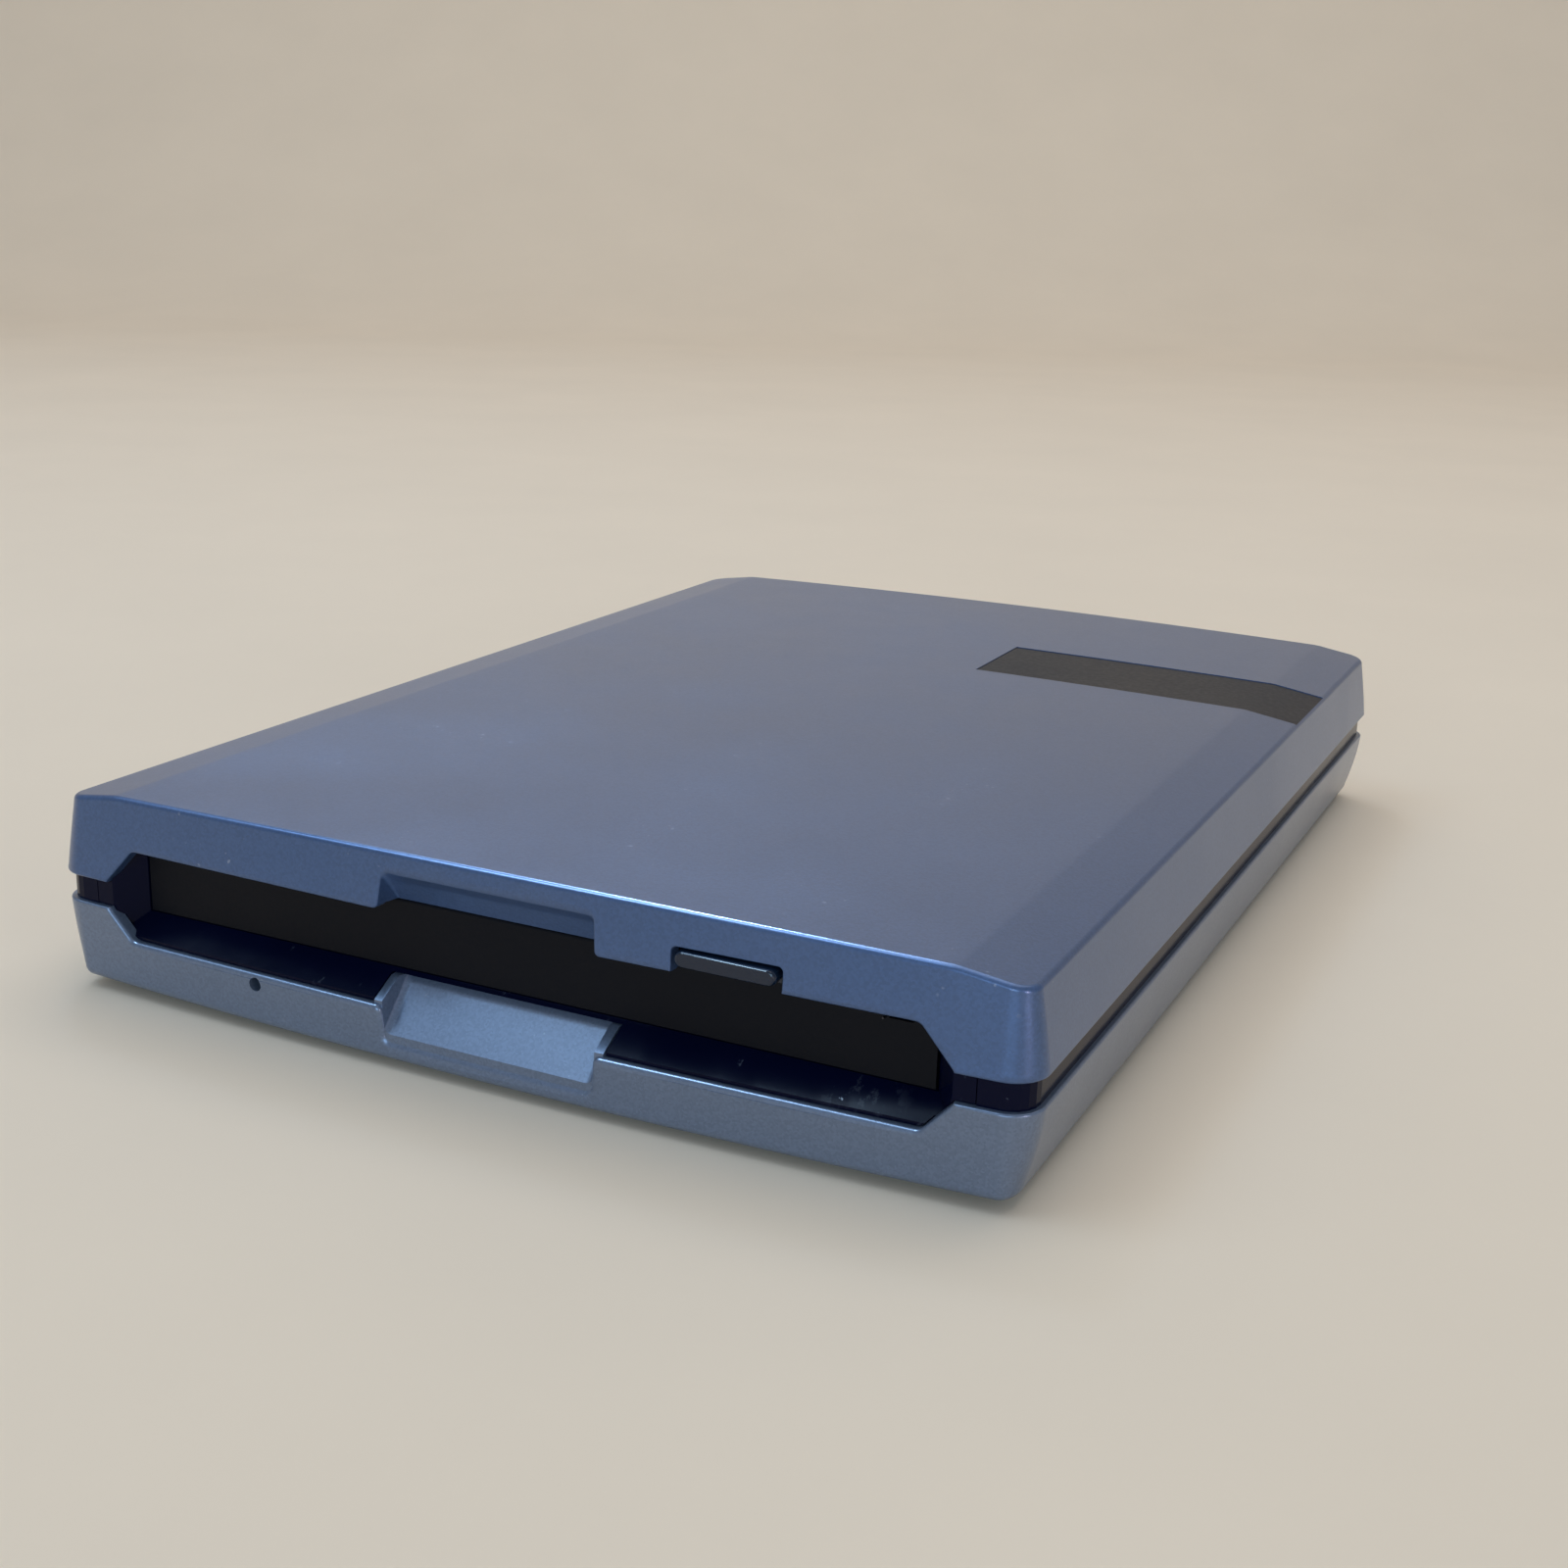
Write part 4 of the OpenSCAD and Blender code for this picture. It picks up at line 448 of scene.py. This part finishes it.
def loft(name, rings):
    """A closed solid through case rings, capped by strips from front to back."""
    m = len(rings[0])
    faces = ring_faces(len(rings), m)
    last = (len(rings) - 1) * m
    for j in range(m // 2 - 1):
        faces.append((j, j + 1, m - 2 - j, m - 1 - j))
        faces.append(tuple(last + i for i in (m - 1 - j, m - 2 - j, j + 1, j)))
    return mesh_object(name, [p for r in rings for p in r], faces)


def skin(name, rings):
    """A closed solid through rings of any outline, with one face at each end."""
    m = len(rings[0])
    last = (len(rings) - 1) * m
    faces = ring_faces(len(rings), m)
    faces += [tuple(range(m)), tuple(last + i for i in reversed(range(m)))]
    return mesh_object(name, [p for r in rings for p in r], faces)


def box(name, x, y, z):
    corners = [(x[i], y[j], z[k]) for k in (0, 1) for i, j in ((0, 0), (1, 0), (1, 1), (0, 1))]
    return skin(name, [corners[:4], corners[4:]])


def rod(name, place, axis, r, length, steps=48):
    """A rod from a point along +Y or +Z."""
    rings = []
    for d in (0, length):
        loop = []
        for i in range(steps):
            a = math.radians(360) * i / steps
            u, v = r * math.cos(a), r * math.sin(a)
            x, y, z = place
            loop.append((x + u, y + d, z + v) if axis == "Y" else (x + u, y + v, z + d))
        rings.append(loop)
    return skin(name, rings)


def combine(body, other, kind):
    """Joins other to body, or cuts it out, and removes it."""
    tool = body.modifiers.new("tool", "BOOLEAN")
    tool.operation = kind
    tool.solver = "MANIFOLD"
    tool.object = other
    graph = bpy.context.evaluated_depsgraph_get()
    result = bpy.data.meshes.new_from_object(body.evaluated_get(graph))
    body.modifiers.clear()
    old = body.data
    body.data = result
    bpy.data.meshes.remove(old)
    bpy.data.objects.remove(other)


def cut(body, other):
    combine(body, other, "DIFFERENCE")


def join(body, other):
    combine(body, other, "UNION")


def smooth(body):
    """Smooth faces with sharp edges kept, and normals that follow the large faces."""
    bm = bmesh.new()
    bm.from_mesh(body.data)
    bmesh.ops.remove_doubles(bm, verts=bm.verts, dist=SEAM * MM)
    bmesh.ops.dissolve_degenerate(bm, edges=bm.edges, dist=SPECK * MM)
    for face in bm.faces:
        face.smooth = True
    for edge in bm.edges:
        if len(edge.link_faces) == 2 and edge.calc_face_angle(0) > math.radians(SMOOTH_LIMIT):
            edge.smooth = False
    bm.to_mesh(body.data)
    bm.free()
    weighted = body.modifiers.new("weighted", "WEIGHTED_NORMAL")
    weighted.keep_sharp = True
    weighted.weight = SHELL_WEIGHT


def rounded(corners, steps):
    """A closed outline with an arc of its own radius at each corner."""
    points = []
    n = len(corners)
    for i, (x, z, r) in enumerate(corners):
        p = Vector((x, z))
        u = (Vector(corners[i - 1][:2]) - p).normalized()
        v = (Vector(corners[(i + 1) % n][:2]) - p).normalized()
        half = math.acos(max(-1, min(1, u.dot(v)))) / 2
        centre = p + (u + v).normalized() * (r / math.sin(half))
        reach = r / math.tan(half)
        s, e = p + u * reach - centre, p + v * reach - centre
        turn = math.pi - 2 * half
        for k in range(steps + 1):
            w = k / steps
            points.append(centre + (s * math.sin((1 - w) * turn) + e * math.sin(w * turn)) / math.sin(turn))
    return points


def grown(points, amounts):
    """The outline moved outwards along its normals; it runs anticlockwise."""
    out = []
    n = len(points)
    for i, p in enumerate(points):
        a = (p - points[i - 1]).normalized()
        b = (points[(i + 1) % n] - p).normalized()
        normal = Vector((a.y + b.y, -a.x - b.x)).normalized()
        out.append(p + normal * amounts[i] / max(0.5, normal.dot(Vector((b.y, -b.x)))))
    return out


def front_y(x, z):
    """Place of the front face at a point of the opening."""
    bow = FRONT_BOW * (x / HALF_W) ** 2 - HALF_D
    if z >= UPPER_Z:
        return bow + UPPER_LEAN * (z - UPPER_Z) / (top_z(x) - TOP_EDGE_R - UPPER_Z)
    if z <= RIM_Z:
        return bow + RIM_STEP + LOWER_LEAN * (RIM_Z - z) / (RIM_Z - bottom_z(x) - BOTTOM_EDGE_R)
    return bow + RIM_STEP * (UPPER_Z - z) / GROOVE_H


# The mouth that both shells share, and the finger grips above and below it
MOUTH_W, MOUTH_FLARE, MOUTH_RISE, MOUTH_DROP = 89.8, 3.6, 3.9, 3.4
MOUTH_LO, MOUTH_HI = RIM_Z - MOUTH_DROP, UPPER_Z + MOUTH_RISE
MOUTH_END_Y = -73.0
MOUTH_ROUND = 1.2
MOUTH_OUT = 3
CORNER_STEPS = 6
GRIP_HALF_W, GRIP_H, GRIP_DEPTH, GRIP_TAPER, GRIP_ROUND = 12.8, 3.2, 4.6, 0.7, 0.8
GRIP_FACE, UPPER_SLOPE, LOWER_SLOPE = 0.9, 1.0, 1.1
GRIP_BACK_Y = GRIP_DEPTH - HALF_D
UPPER_LIP_R, LOWER_LIP_R = 0.3, 0.5
FAR_SHARE, NEAR_SHARE, LOWER_NEAR_R, UPPER_NEAR_R = 0.4, 0.3, 0.8, 0.6
GRIP_OPEN = 0.6
# How far the mouth's tool stays inside the grips, and the least step it keeps between both
SHY, LEAST_STEP = 0.02, 0.06


def upper_far(y):
    """Height of the upper grip's sloping face at a depth."""
    return MOUTH_HI + GRIP_H - UPPER_SLOPE * (y + HALF_D - GRIP_FACE)


def lower_far(y):
    """Height of the lower grip's sloping floor at a depth."""
    return MOUTH_LO - GRIP_H + LOWER_SLOPE * (y + HALF_D - GRIP_FACE)


def opening_corners(y):
    """The mouth with both finger grips at a depth, anticlockwise from the left end of the lower rim."""
    g, w = MOUTH_W / 2 + MOUTH_FLARE, MOUTH_W / 2
    drop = MOUTH_DROP * MOUTH_FLARE / MOUTH_RISE
    low = min(lower_far(y) + SHY, MOUTH_LO - LEAST_STEP)
    high = max(upper_far(y) - SHY, MOUTH_HI + LEAST_STEP)
    deep, rise = MOUTH_LO - low, high - MOUTH_HI
    narrow = GRIP_HALF_W - GRIP_TAPER - SHY
    low_x = narrow + GRIP_TAPER * deep / (deep + RIM_Z + GRIP_H - MOUTH_LO)
    high_x = narrow + GRIP_TAPER * rise / (rise + GRIP_H)
    r = MOUTH_ROUND
    a, b = min(GRIP_ROUND, deep * FAR_SHARE), min(LOWER_NEAR_R, deep * NEAR_SHARE)
    c, d = min(GRIP_ROUND, rise * FAR_SHARE), min(UPPER_NEAR_R, rise * NEAR_SHARE)
    return [
        (-g, RIM_Z, r), (drop - g, MOUTH_LO, r),
        (-low_x, MOUTH_LO, b), (-narrow, low, a), (narrow, low, a), (low_x, MOUTH_LO, b),
        (g - drop, MOUTH_LO, r), (g, RIM_Z, r), (g, UPPER_Z, r), (w, MOUTH_HI, r),
        (high_x, MOUTH_HI, d), (narrow, high, c), (-narrow, high, c), (-high_x, MOUTH_HI, d),
        (-w, MOUTH_HI, r), (-g, UPPER_Z, r)]


def lip_radius(z):
    """Radius of the mouth's lip, larger on the lower shell."""
    share = max(0.0, min(1.0, (z - RIM_Z) / GROOVE_H))
    return LOWER_LIP_R + (UPPER_LIP_R - LOWER_LIP_R) * share


def opening_tool():
    """Cuts the mouth and rounds its lip, as a skin whose rings follow the bowed front."""
    rings = []
    lip_angles = (14, 30, 45, 60, 75, 90)
    out_angle = math.radians(lip_angles[0])

    def add(depth_of, grow_of, flat_y=None):
        y = -HALF_D if flat_y is None else flat_y
        base = rounded(opening_corners(y + depth_of(0.4)), CORNER_STEPS)
        line = grown(base, [grow_of(lip_radius(p.y)) for p in base])
        rings.append([(p.x, front_y(p.x, p.y) + depth_of(lip_radius(q.y)) if flat_y is None else flat_y, p.y)
                      for p, q in zip(line, base)])

    outward = 0.25
    grow_out = lambda r: r * (1 - math.sin(out_angle)) + outward * math.cos(out_angle)
    depth_out = lambda r: r * (1 - math.cos(out_angle)) - outward * math.sin(out_angle)
    add(lambda r: 0, grow_out, -HALF_D - MOUTH_OUT)
    add(lambda r: -1, grow_out)
    add(depth_out, grow_out)
    for degrees in lip_angles:
        a = math.radians(degrees)
        add(lambda r: r * (1 - math.cos(a)), lambda r: r * (1 - math.sin(a)))
    add(lambda r: 1.0, lambda r: 0)
    add(lambda r: 1.7, lambda r: 0)
    add(lambda r: 0, lambda r: 0, MOUTH_END_Y)
    return skin("mouth_tool", rings)


def grip_tool(far, near, y0, y1):
    """A finger grip between two depths: narrower at its sloping far side than at the mouth."""
    rings = []
    for y in (y0, y1):
        corners = [(-GRIP_HALF_W, near, GRIP_ROUND), (GRIP_TAPER - GRIP_HALF_W, far(y), GRIP_ROUND),
                   (GRIP_HALF_W - GRIP_TAPER, far(y), GRIP_ROUND), (GRIP_HALF_W, near, GRIP_ROUND)]
        rings.append([(p.x, y, p.y) for p in rounded(corners, CORNER_STEPS)])
    return skin("grip_tool", rings)


# The button's window, the posts at the case screws and the label's recess
BUTTON_X, BUTTON_W, BUTTON_H = 26.1, 10.4, 1.6
BUTTON_LO = MOUTH_HI + 0.7
WINDOW_GAP, WINDOW_R = 0.4, 0.5
POST_X, POST_Y, POST_R, SCREW_R, HEAD_R = HALF_W - 5.8, (-70.5, 69.8), 2.4, 1.05, 2.1
POST_SPLIT = RIM_Z + GROOVE_H / 2
HEAD_Z = 3.16
LABEL_X0, LABEL_X1, LABEL_Y, LABEL_L, LABEL_SINK = 10.2, HALF_W - UPPER_LEAN - 0.3, 29.2, 16.8, 0.6
LABEL_STEPS = 12
GRIP_BLOCK_X, GRIP_BLOCK_BACK = GRIP_HALF_W + WALL, GRIP_BACK_Y + WALL
# Posts, bores and openings of the lower shell
CHASSIS_POST_X, CHASSIS_POST_Y, CHASSIS_POST_R, CHASSIS_POST_Z = 39.5, (-54.0, 50.0), 2.6, 4.0
BOARD_POST_X, BOARD_POST_Y, BOARD_POST_R, BOARD_POST_Z = 23.8, 61.85, 2.0, 3.5
CHASSIS_BORE_R, BOARD_BORE_R, BORE_L = 1.05, 0.85, 9
RELEASE_X, RELEASE_DROP, RELEASE_R, RELEASE_L = -28.4, 1.15, 0.75, 4.8
FOOT_X, FOOT_IN, FOOT_SEAT_R, FOOT_SEAT_H = 41, 15, 5.2, 1.5
BOARD_TOP, INLET_GAP = 4.5, 0.35
USB_X, USB_HALF_W, USB_H, USB_CORNER = -13, 3.85, 3.9, 0.8
DC_X, DC_Z, DC_R = 12, 6.9, 2.45
# The funnel under the slot, and the lower shell's tongue between its halves
FIT = 0.2
SLOT_LO, DOOR_Y = MOUTH_LO + 2.5, 4.8 - HALF_D
WINDOW_X, FUNNEL_FLARE, FUNNEL_EDGE = 45.8, 2.2, 0.35
FUNNEL_FRONT = 0.8 + RIM_STEP - HALF_D
FUNNEL_SHARES, FUNNEL_STEPS = (0, 1, 1.2), 10
TONGUE_X, TONGUE_TOP = GRIP_HALF_W + 0.5, SLOT_LO - 0.5


def funnel_tool():
    """The funnel's floor as a sheet that rises from the bowed lip to the door."""
    rings = []
    for w in FUNNEL_SHARES:
        wide = WINDOW_X + FUNNEL_FLARE * w
        z = SLOT_LO + (MOUTH_LO + FUNNEL_EDGE - SLOT_LO) * w
        line = []
        for i in range(-FUNNEL_STEPS, FUNNEL_STEPS + 1):
            x = i * wide / FUNNEL_STEPS
            lip = FUNNEL_FRONT + FRONT_BOW * (x / HALF_W) ** 2
            line.append((x, DOOR_Y + (lip - DOOR_Y) * w))
        rings.append([(x, y, z) for x, y in line] + [(x, y, MOUTH_HI) for x, y in reversed(line)])
    return skin("funnel_tool", rings)


def posts(radius, z0, z1):
    """Rods for the posts or bores at the four case screws."""
    for x in (-POST_X, POST_X):
        for y in POST_Y:
            yield rod("post", (x, y, z0), "Z", radius, z1 - z0)


def lower_posts():
    """Place, radius, top and bore of the posts that carry the chassis and the inlet board."""
    for x in (-CHASSIS_POST_X, CHASSIS_POST_X):
        for y in CHASSIS_POST_Y:
            yield x, y, CHASSIS_POST_R, CHASSIS_POST_Z, CHASSIS_BORE_R
    for x in (-BOARD_POST_X, BOARD_POST_X):
        yield x, BOARD_POST_Y, BOARD_POST_R, BOARD_POST_Z, BOARD_BORE_R


def cut_inlets(body):
    """Opens the back wall for the two inlets."""
    half, low, high = USB_HALF_W + INLET_GAP, BOARD_TOP - INLET_GAP, BOARD_TOP + USB_H + INLET_GAP
    outline = [(USB_X - half, low + USB_CORNER), (USB_X - half + USB_CORNER, low),
               (USB_X + half - USB_CORNER, low), (USB_X + half, low + USB_CORNER),
               (USB_X + half, high), (USB_X - half, high)]
    back = HALF_D - WALL * 2 - LOWER_LEAN
    cut(body, skin("usb_hole", [[(x, y, z) for x, z in outline] for y in (back, back + WALL * 3)]))
    cut(body, rod("dc_hole", (DC_X, back, DC_Z), "Y", DC_R, WALL * 3))


def button_tool():
    """The button's window with a small rounded lip."""
    rings = []
    left, right = BUTTON_X - BUTTON_W / 2 - WINDOW_GAP, BUTTON_X + BUTTON_W / 2 + WINDOW_GAP
    top = BUTTON_LO + BUTTON_H + WINDOW_GAP / 2
    low = MOUTH_HI - BUTTON_H
    for grow, depth in ((0.16, -2), (0.16, -0.03), (0.08, 0.02), (0.03, 0.08), (0, 0.15), (0, 2.4)):
        corners = [(x, z, WINDOW_R) for x, z in ((left, low), (right, low), (right, top), (left, top))]
        outline = rounded(corners, CORNER_STEPS)
        line = grown(outline, [grow] * len(outline))
        rings.append([(p.x, front_y(p.x, max(p.y, MOUTH_HI)) + depth, p.y) for p in line])
    return skin("window_tool", rings)


def label_tool():
    """The label's recess, which follows the crown and the shoulder."""
    xs = [LABEL_X0 + (SHOULDER_X - LABEL_X0) * i / LABEL_STEPS for i in range(LABEL_STEPS + 1)] + [LABEL_X1]
    rings = []
    for y in (LABEL_Y, LABEL_Y + LABEL_L):
        rings.append([(x, y, top_z(x) - LABEL_SINK) for x in xs]
                     + [(x, y, top_z(x) + 1) for x in reversed(xs)])
    return skin("label_tool", rings)


def upper_shell():
    """Skin and hollow, the block behind the grip, screw posts, then all that is cut out."""
    body = loft("upper_shell_skin", outer_rings(upper_ring, TOP_EDGE_R, 1))
    cut(body, loft("hollow", [upper_ring(t, WALL, -WALL) for t in HOLLOW_SHARES]))
    block_top = CASE_H - WALL / 2 - TOP_CROWN * (GRIP_BLOCK_X / HALF_W) ** 2
    join(body, box("block", (-GRIP_BLOCK_X, GRIP_BLOCK_X), (UPPER_LEAN + WALL / 2 - HALF_D, GRIP_BLOCK_BACK),
                   (MOUTH_HI + 0.3, block_top)))
    for post in posts(POST_R, POST_SPLIT, top_z(POST_X + POST_R) - WALL / 2):
        join(body, post)
    cut(body, opening_tool())
    cut(body, grip_tool(upper_far, MOUTH_HI - GRIP_H, -HALF_D + GRIP_OPEN, GRIP_BACK_Y))
    cut(body, button_tool())
    cut(body, label_tool())
    for post in posts(SCREW_R, POST_SPLIT - 1, HEAD_Z + 12):
        cut(body, post)
    return body


def lower_shell():
    """As the upper shell, with the tongue in the funnel, the inner posts, feet seats and inlets."""
    root = FOOT_H + WALL / 2 + BOTTOM_CROWN
    body = loft("lower_shell_skin", outer_rings(lower_ring, BOTTOM_EDGE_R, -1))
    cut(body, loft("hollow", [lower_ring(t, WALL, WALL) for t in HOLLOW_SHARES]))
    block_low = FOOT_H + (WALL + BOTTOM_CROWN) / 2
    join(body, box("block", (-GRIP_BLOCK_X, GRIP_BLOCK_X), (UPPER_LEAN + WALL / 2 - HALF_D, GRIP_BLOCK_BACK),
                   (block_low, MOUTH_LO - FIT)))
    for post in posts(POST_R, root, POST_SPLIT):
        join(body, post)
    cut(body, opening_tool())
    tongue = box("tongue", (-TONGUE_X, TONGUE_X), (FUNNEL_FRONT + LEAST_R, GRIP_BLOCK_BACK),
                 (block_low, TONGUE_TOP))
    cut(tongue, funnel_tool())
    join(body, tongue)
    for x, y, radius, top, bore in lower_posts():
        join(body, rod("post", (x, y, root), "Z", radius, top - root))
    cut(body, grip_tool(lower_far, RIM_Z + GRIP_H, GRIP_BLOCK_BACK, -HALF_D + GRIP_OPEN))
    cut(body, rod("hole", (RELEASE_X, -HALF_D - 1, MOUTH_LO - RELEASE_DROP), "Y", RELEASE_R, RELEASE_L))
    for post in posts(SCREW_R, 0, POST_SPLIT + 1):
        cut(body, post)
    for post in posts(HEAD_R, 0, HEAD_Z):
        cut(body, post)
    for x, y, radius, top, bore in lower_posts():
        cut(body, rod("bore", (x, y, root + WALL / 2), "Z", bore, BORE_L))
    for x in (-FOOT_X, FOOT_X):
        for y in (FOOT_IN - HALF_D, HALF_D - FOOT_IN):
            cut(body, rod("seat", (x, y, 0), "Z", FOOT_SEAT_R, FOOT_SEAT_H))
    cut_inlets(body)
    return body


def shell_piece(body, node, paint, maker):
    """Dresses a shell and puts it in the place of its node."""
    body.data.materials.clear()
    body.data.materials.append(made(paint, maker))
    smooth(body)
    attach(body, "case")
    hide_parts(node)


shell_piece(upper_shell(), "upper_shell", "shell_paint", upper_paint)
shell_piece(lower_shell(), "lower_shell", "lower_shell_paint_painted_bounce_light", lower_paint_bounce_lit)

# Pieces that keep the CAD's shape and gain rounded edges, or that stand in as copies with meshes of their own
EDGE_LIMIT = 28
FLAT_LIMIT = 0.5
EDGE_SEGMENTS = 3


def stand_in(name):
    """A copy of a node's mesh, to be shown in its place."""
    body = bpy.data.objects.new(name + "_soft", nodes[name].data.copy())
    bpy.context.scene.collection.objects.link(body)
    return body


def soft_edged(name, radius):
    """Stands for a node as a copy of its mesh whose sharp edges are rounded."""
    body = stand_in(name)
    bm = bmesh.new()
    bm.from_mesh(body.data)
    bmesh.ops.remove_doubles(bm, verts=bm.verts, dist=SEAM * MM)
    bmesh.ops.dissolve_limit(bm, angle_limit=math.radians(FLAT_LIMIT), verts=bm.verts, edges=bm.edges)
    bm.to_mesh(body.data)
    bm.free()
    body.data.polygons.foreach_set("use_smooth", [True] * len(body.data.polygons))
    bevel = body.modifiers.new("rounded", "BEVEL")
    bevel.width = radius * MM
    bevel.segments = EDGE_SEGMENTS
    bevel.limit_method = "ANGLE"
    bevel.angle_limit = math.radians(EDGE_LIMIT)
    bevel.use_clamp_overlap = True
    weighted = body.modifiers.new("weighted", "WEIGHTED_NORMAL")
    weighted.keep_sharp = True
    weighted.weight = EDGE_WEIGHT
    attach(body, BODY_OF[name])
    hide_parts(name)


for piece_name, edge_radius in (("front_bezel", 0.12), ("eject_button", 0.18), ("label_plate", 0.08)):
    soft_edged(piece_name, edge_radius)


def shortening(name, joint, travel):
    """Stands for a springy node as a copy of its mesh, with that mesh its own."""
    body = stand_in(name)
    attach(body, BODY_OF[name])
    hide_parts(name)
    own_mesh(body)


SHORTENING = (("button_spring", "button_press", 0.62), ("carriage_flex", "carriage_seek", 17.6))
for piece_name, joint_name, joint_travel in SHORTENING:
    shortening(piece_name, joint_name, joint_travel)

# Floor and light, sizes in metres
PALE = linear(248, 229, 204)


def make_floor():
    """A pale sheet that curves up behind the object."""
    back, reach, bend_r, high, half_w = 0.9, 1.6, 0.5, 1.6, 2.2
    profile = [(-reach, 0.0), (back, 0.0)]
    steps = 24
    for i in range(1, steps + 1):
        a = math.radians(90) * i / steps
        profile.append((back + bend_r * math.sin(a), bend_r * (1 - math.cos(a))))
    profile.append((back + bend_r, high))
    points = [(x, y, z) for y, z in profile for x in (-half_w, half_w)]
    faces = [(2 * i, 2 * i + 1, 2 * i + 3, 2 * i + 2) for i in range(len(profile) - 1)]
    mesh = bpy.data.meshes.new("pale_floor")
    mesh.from_pydata(points, [], faces)
    mesh.polygons.foreach_set("use_smooth", [True] * len(faces))
    floor = bpy.data.objects.new("pale_floor", mesh)
    bpy.context.scene.collection.objects.link(floor)
    floor.matrix_world = Matrix.Rotation(CAMERA_AZIMUTH, 4, "Z")
    t = Tree("pale_floor")
    cloud = t.noise(14, 5)
    t.link(t.mix(cloud, shade(PALE, 0.96), shade(PALE, 1.04)), t.shader.inputs["Base Color"])
    t.set(Roughness=0.9)
    mesh.materials.append(t.material)


MIDDLE = Vector((0, 0, 0.01))
WORLD_COLOUR, WORLD_STRENGTH = (0.80, 0.88, 1.0, 1), 0.36
BLUE, PALE_BLUE = (0.5, 0.75, 1.0), (0.6, 0.8, 1.0)


def area_light(name, place, target, size, power, colour, glint=False):
    """A lamp aimed at a point; a glint is mirrored by glossy surfaces and doesn't light dull ones."""
    data = bpy.data.lights.new(name, "AREA")
    data.shape = "RECTANGLE"
    data.size, data.size_y = size
    data.energy = power
    data.color = colour
    lamp = bpy.data.objects.new(name, data)
    bpy.context.scene.collection.objects.link(lamp)
    lamp.location = place
    lamp.rotation_mode = "QUATERNION"
    lamp.rotation_quaternion = (Vector(place) - target).to_track_quat("Z", "Y")
    lamp.visible_diffuse = not glint


def make_light():
    """A soft lamp above and behind, weaker blue ones at the left and in front, and three glints."""
    world = bpy.data.worlds.new("studio")
    bpy.context.scene.world = world
    world.use_nodes = True
    background = world.node_tree.nodes["Background"]
    background.inputs["Color"].default_value = WORLD_COLOUR
    background.inputs["Strength"].default_value = WORLD_STRENGTH
    ground = Vector((0, 0, 0))
    area_light("key_light", (0.0, 0.3, 1.3), ground, (1.2, 1.2), 5.7, (1.0, 0.98, 0.96))
    area_light("left_light", (-0.5, -0.35, 1.03), ground, (0.6, 0.6), 1.8, (0.52, 0.75, 1.0))
    area_light("front_light", (0.3, -1.3, 0.3), MIDDLE, (0.8, 0.5), 5.4, BLUE)
    area_light("glint_light", (-0.45, 0.42, 0.92), ground, (0.14, 0.14), 11.0, PALE_BLUE, glint=True)
    area_light("lip_glint", (-0.5, -0.3, 1.0), ground, (0.3, 0.3), 7.5, BLUE, glint=True)
    area_light("corner_glint", (1.2, -0.55, 0.14), MIDDLE, (0.2, 0.5), 2.2, (1.0, 0.74, 0.9), glint=True)
    area_light("side_light", (1.3, -0.62, 0.2), MIDDLE, (0.3, 0.3), 1.8, (0.85, 0.93, 1.0))


make_floor()
make_light()
bpy.context.scene.view_settings.view_transform = "Standard"
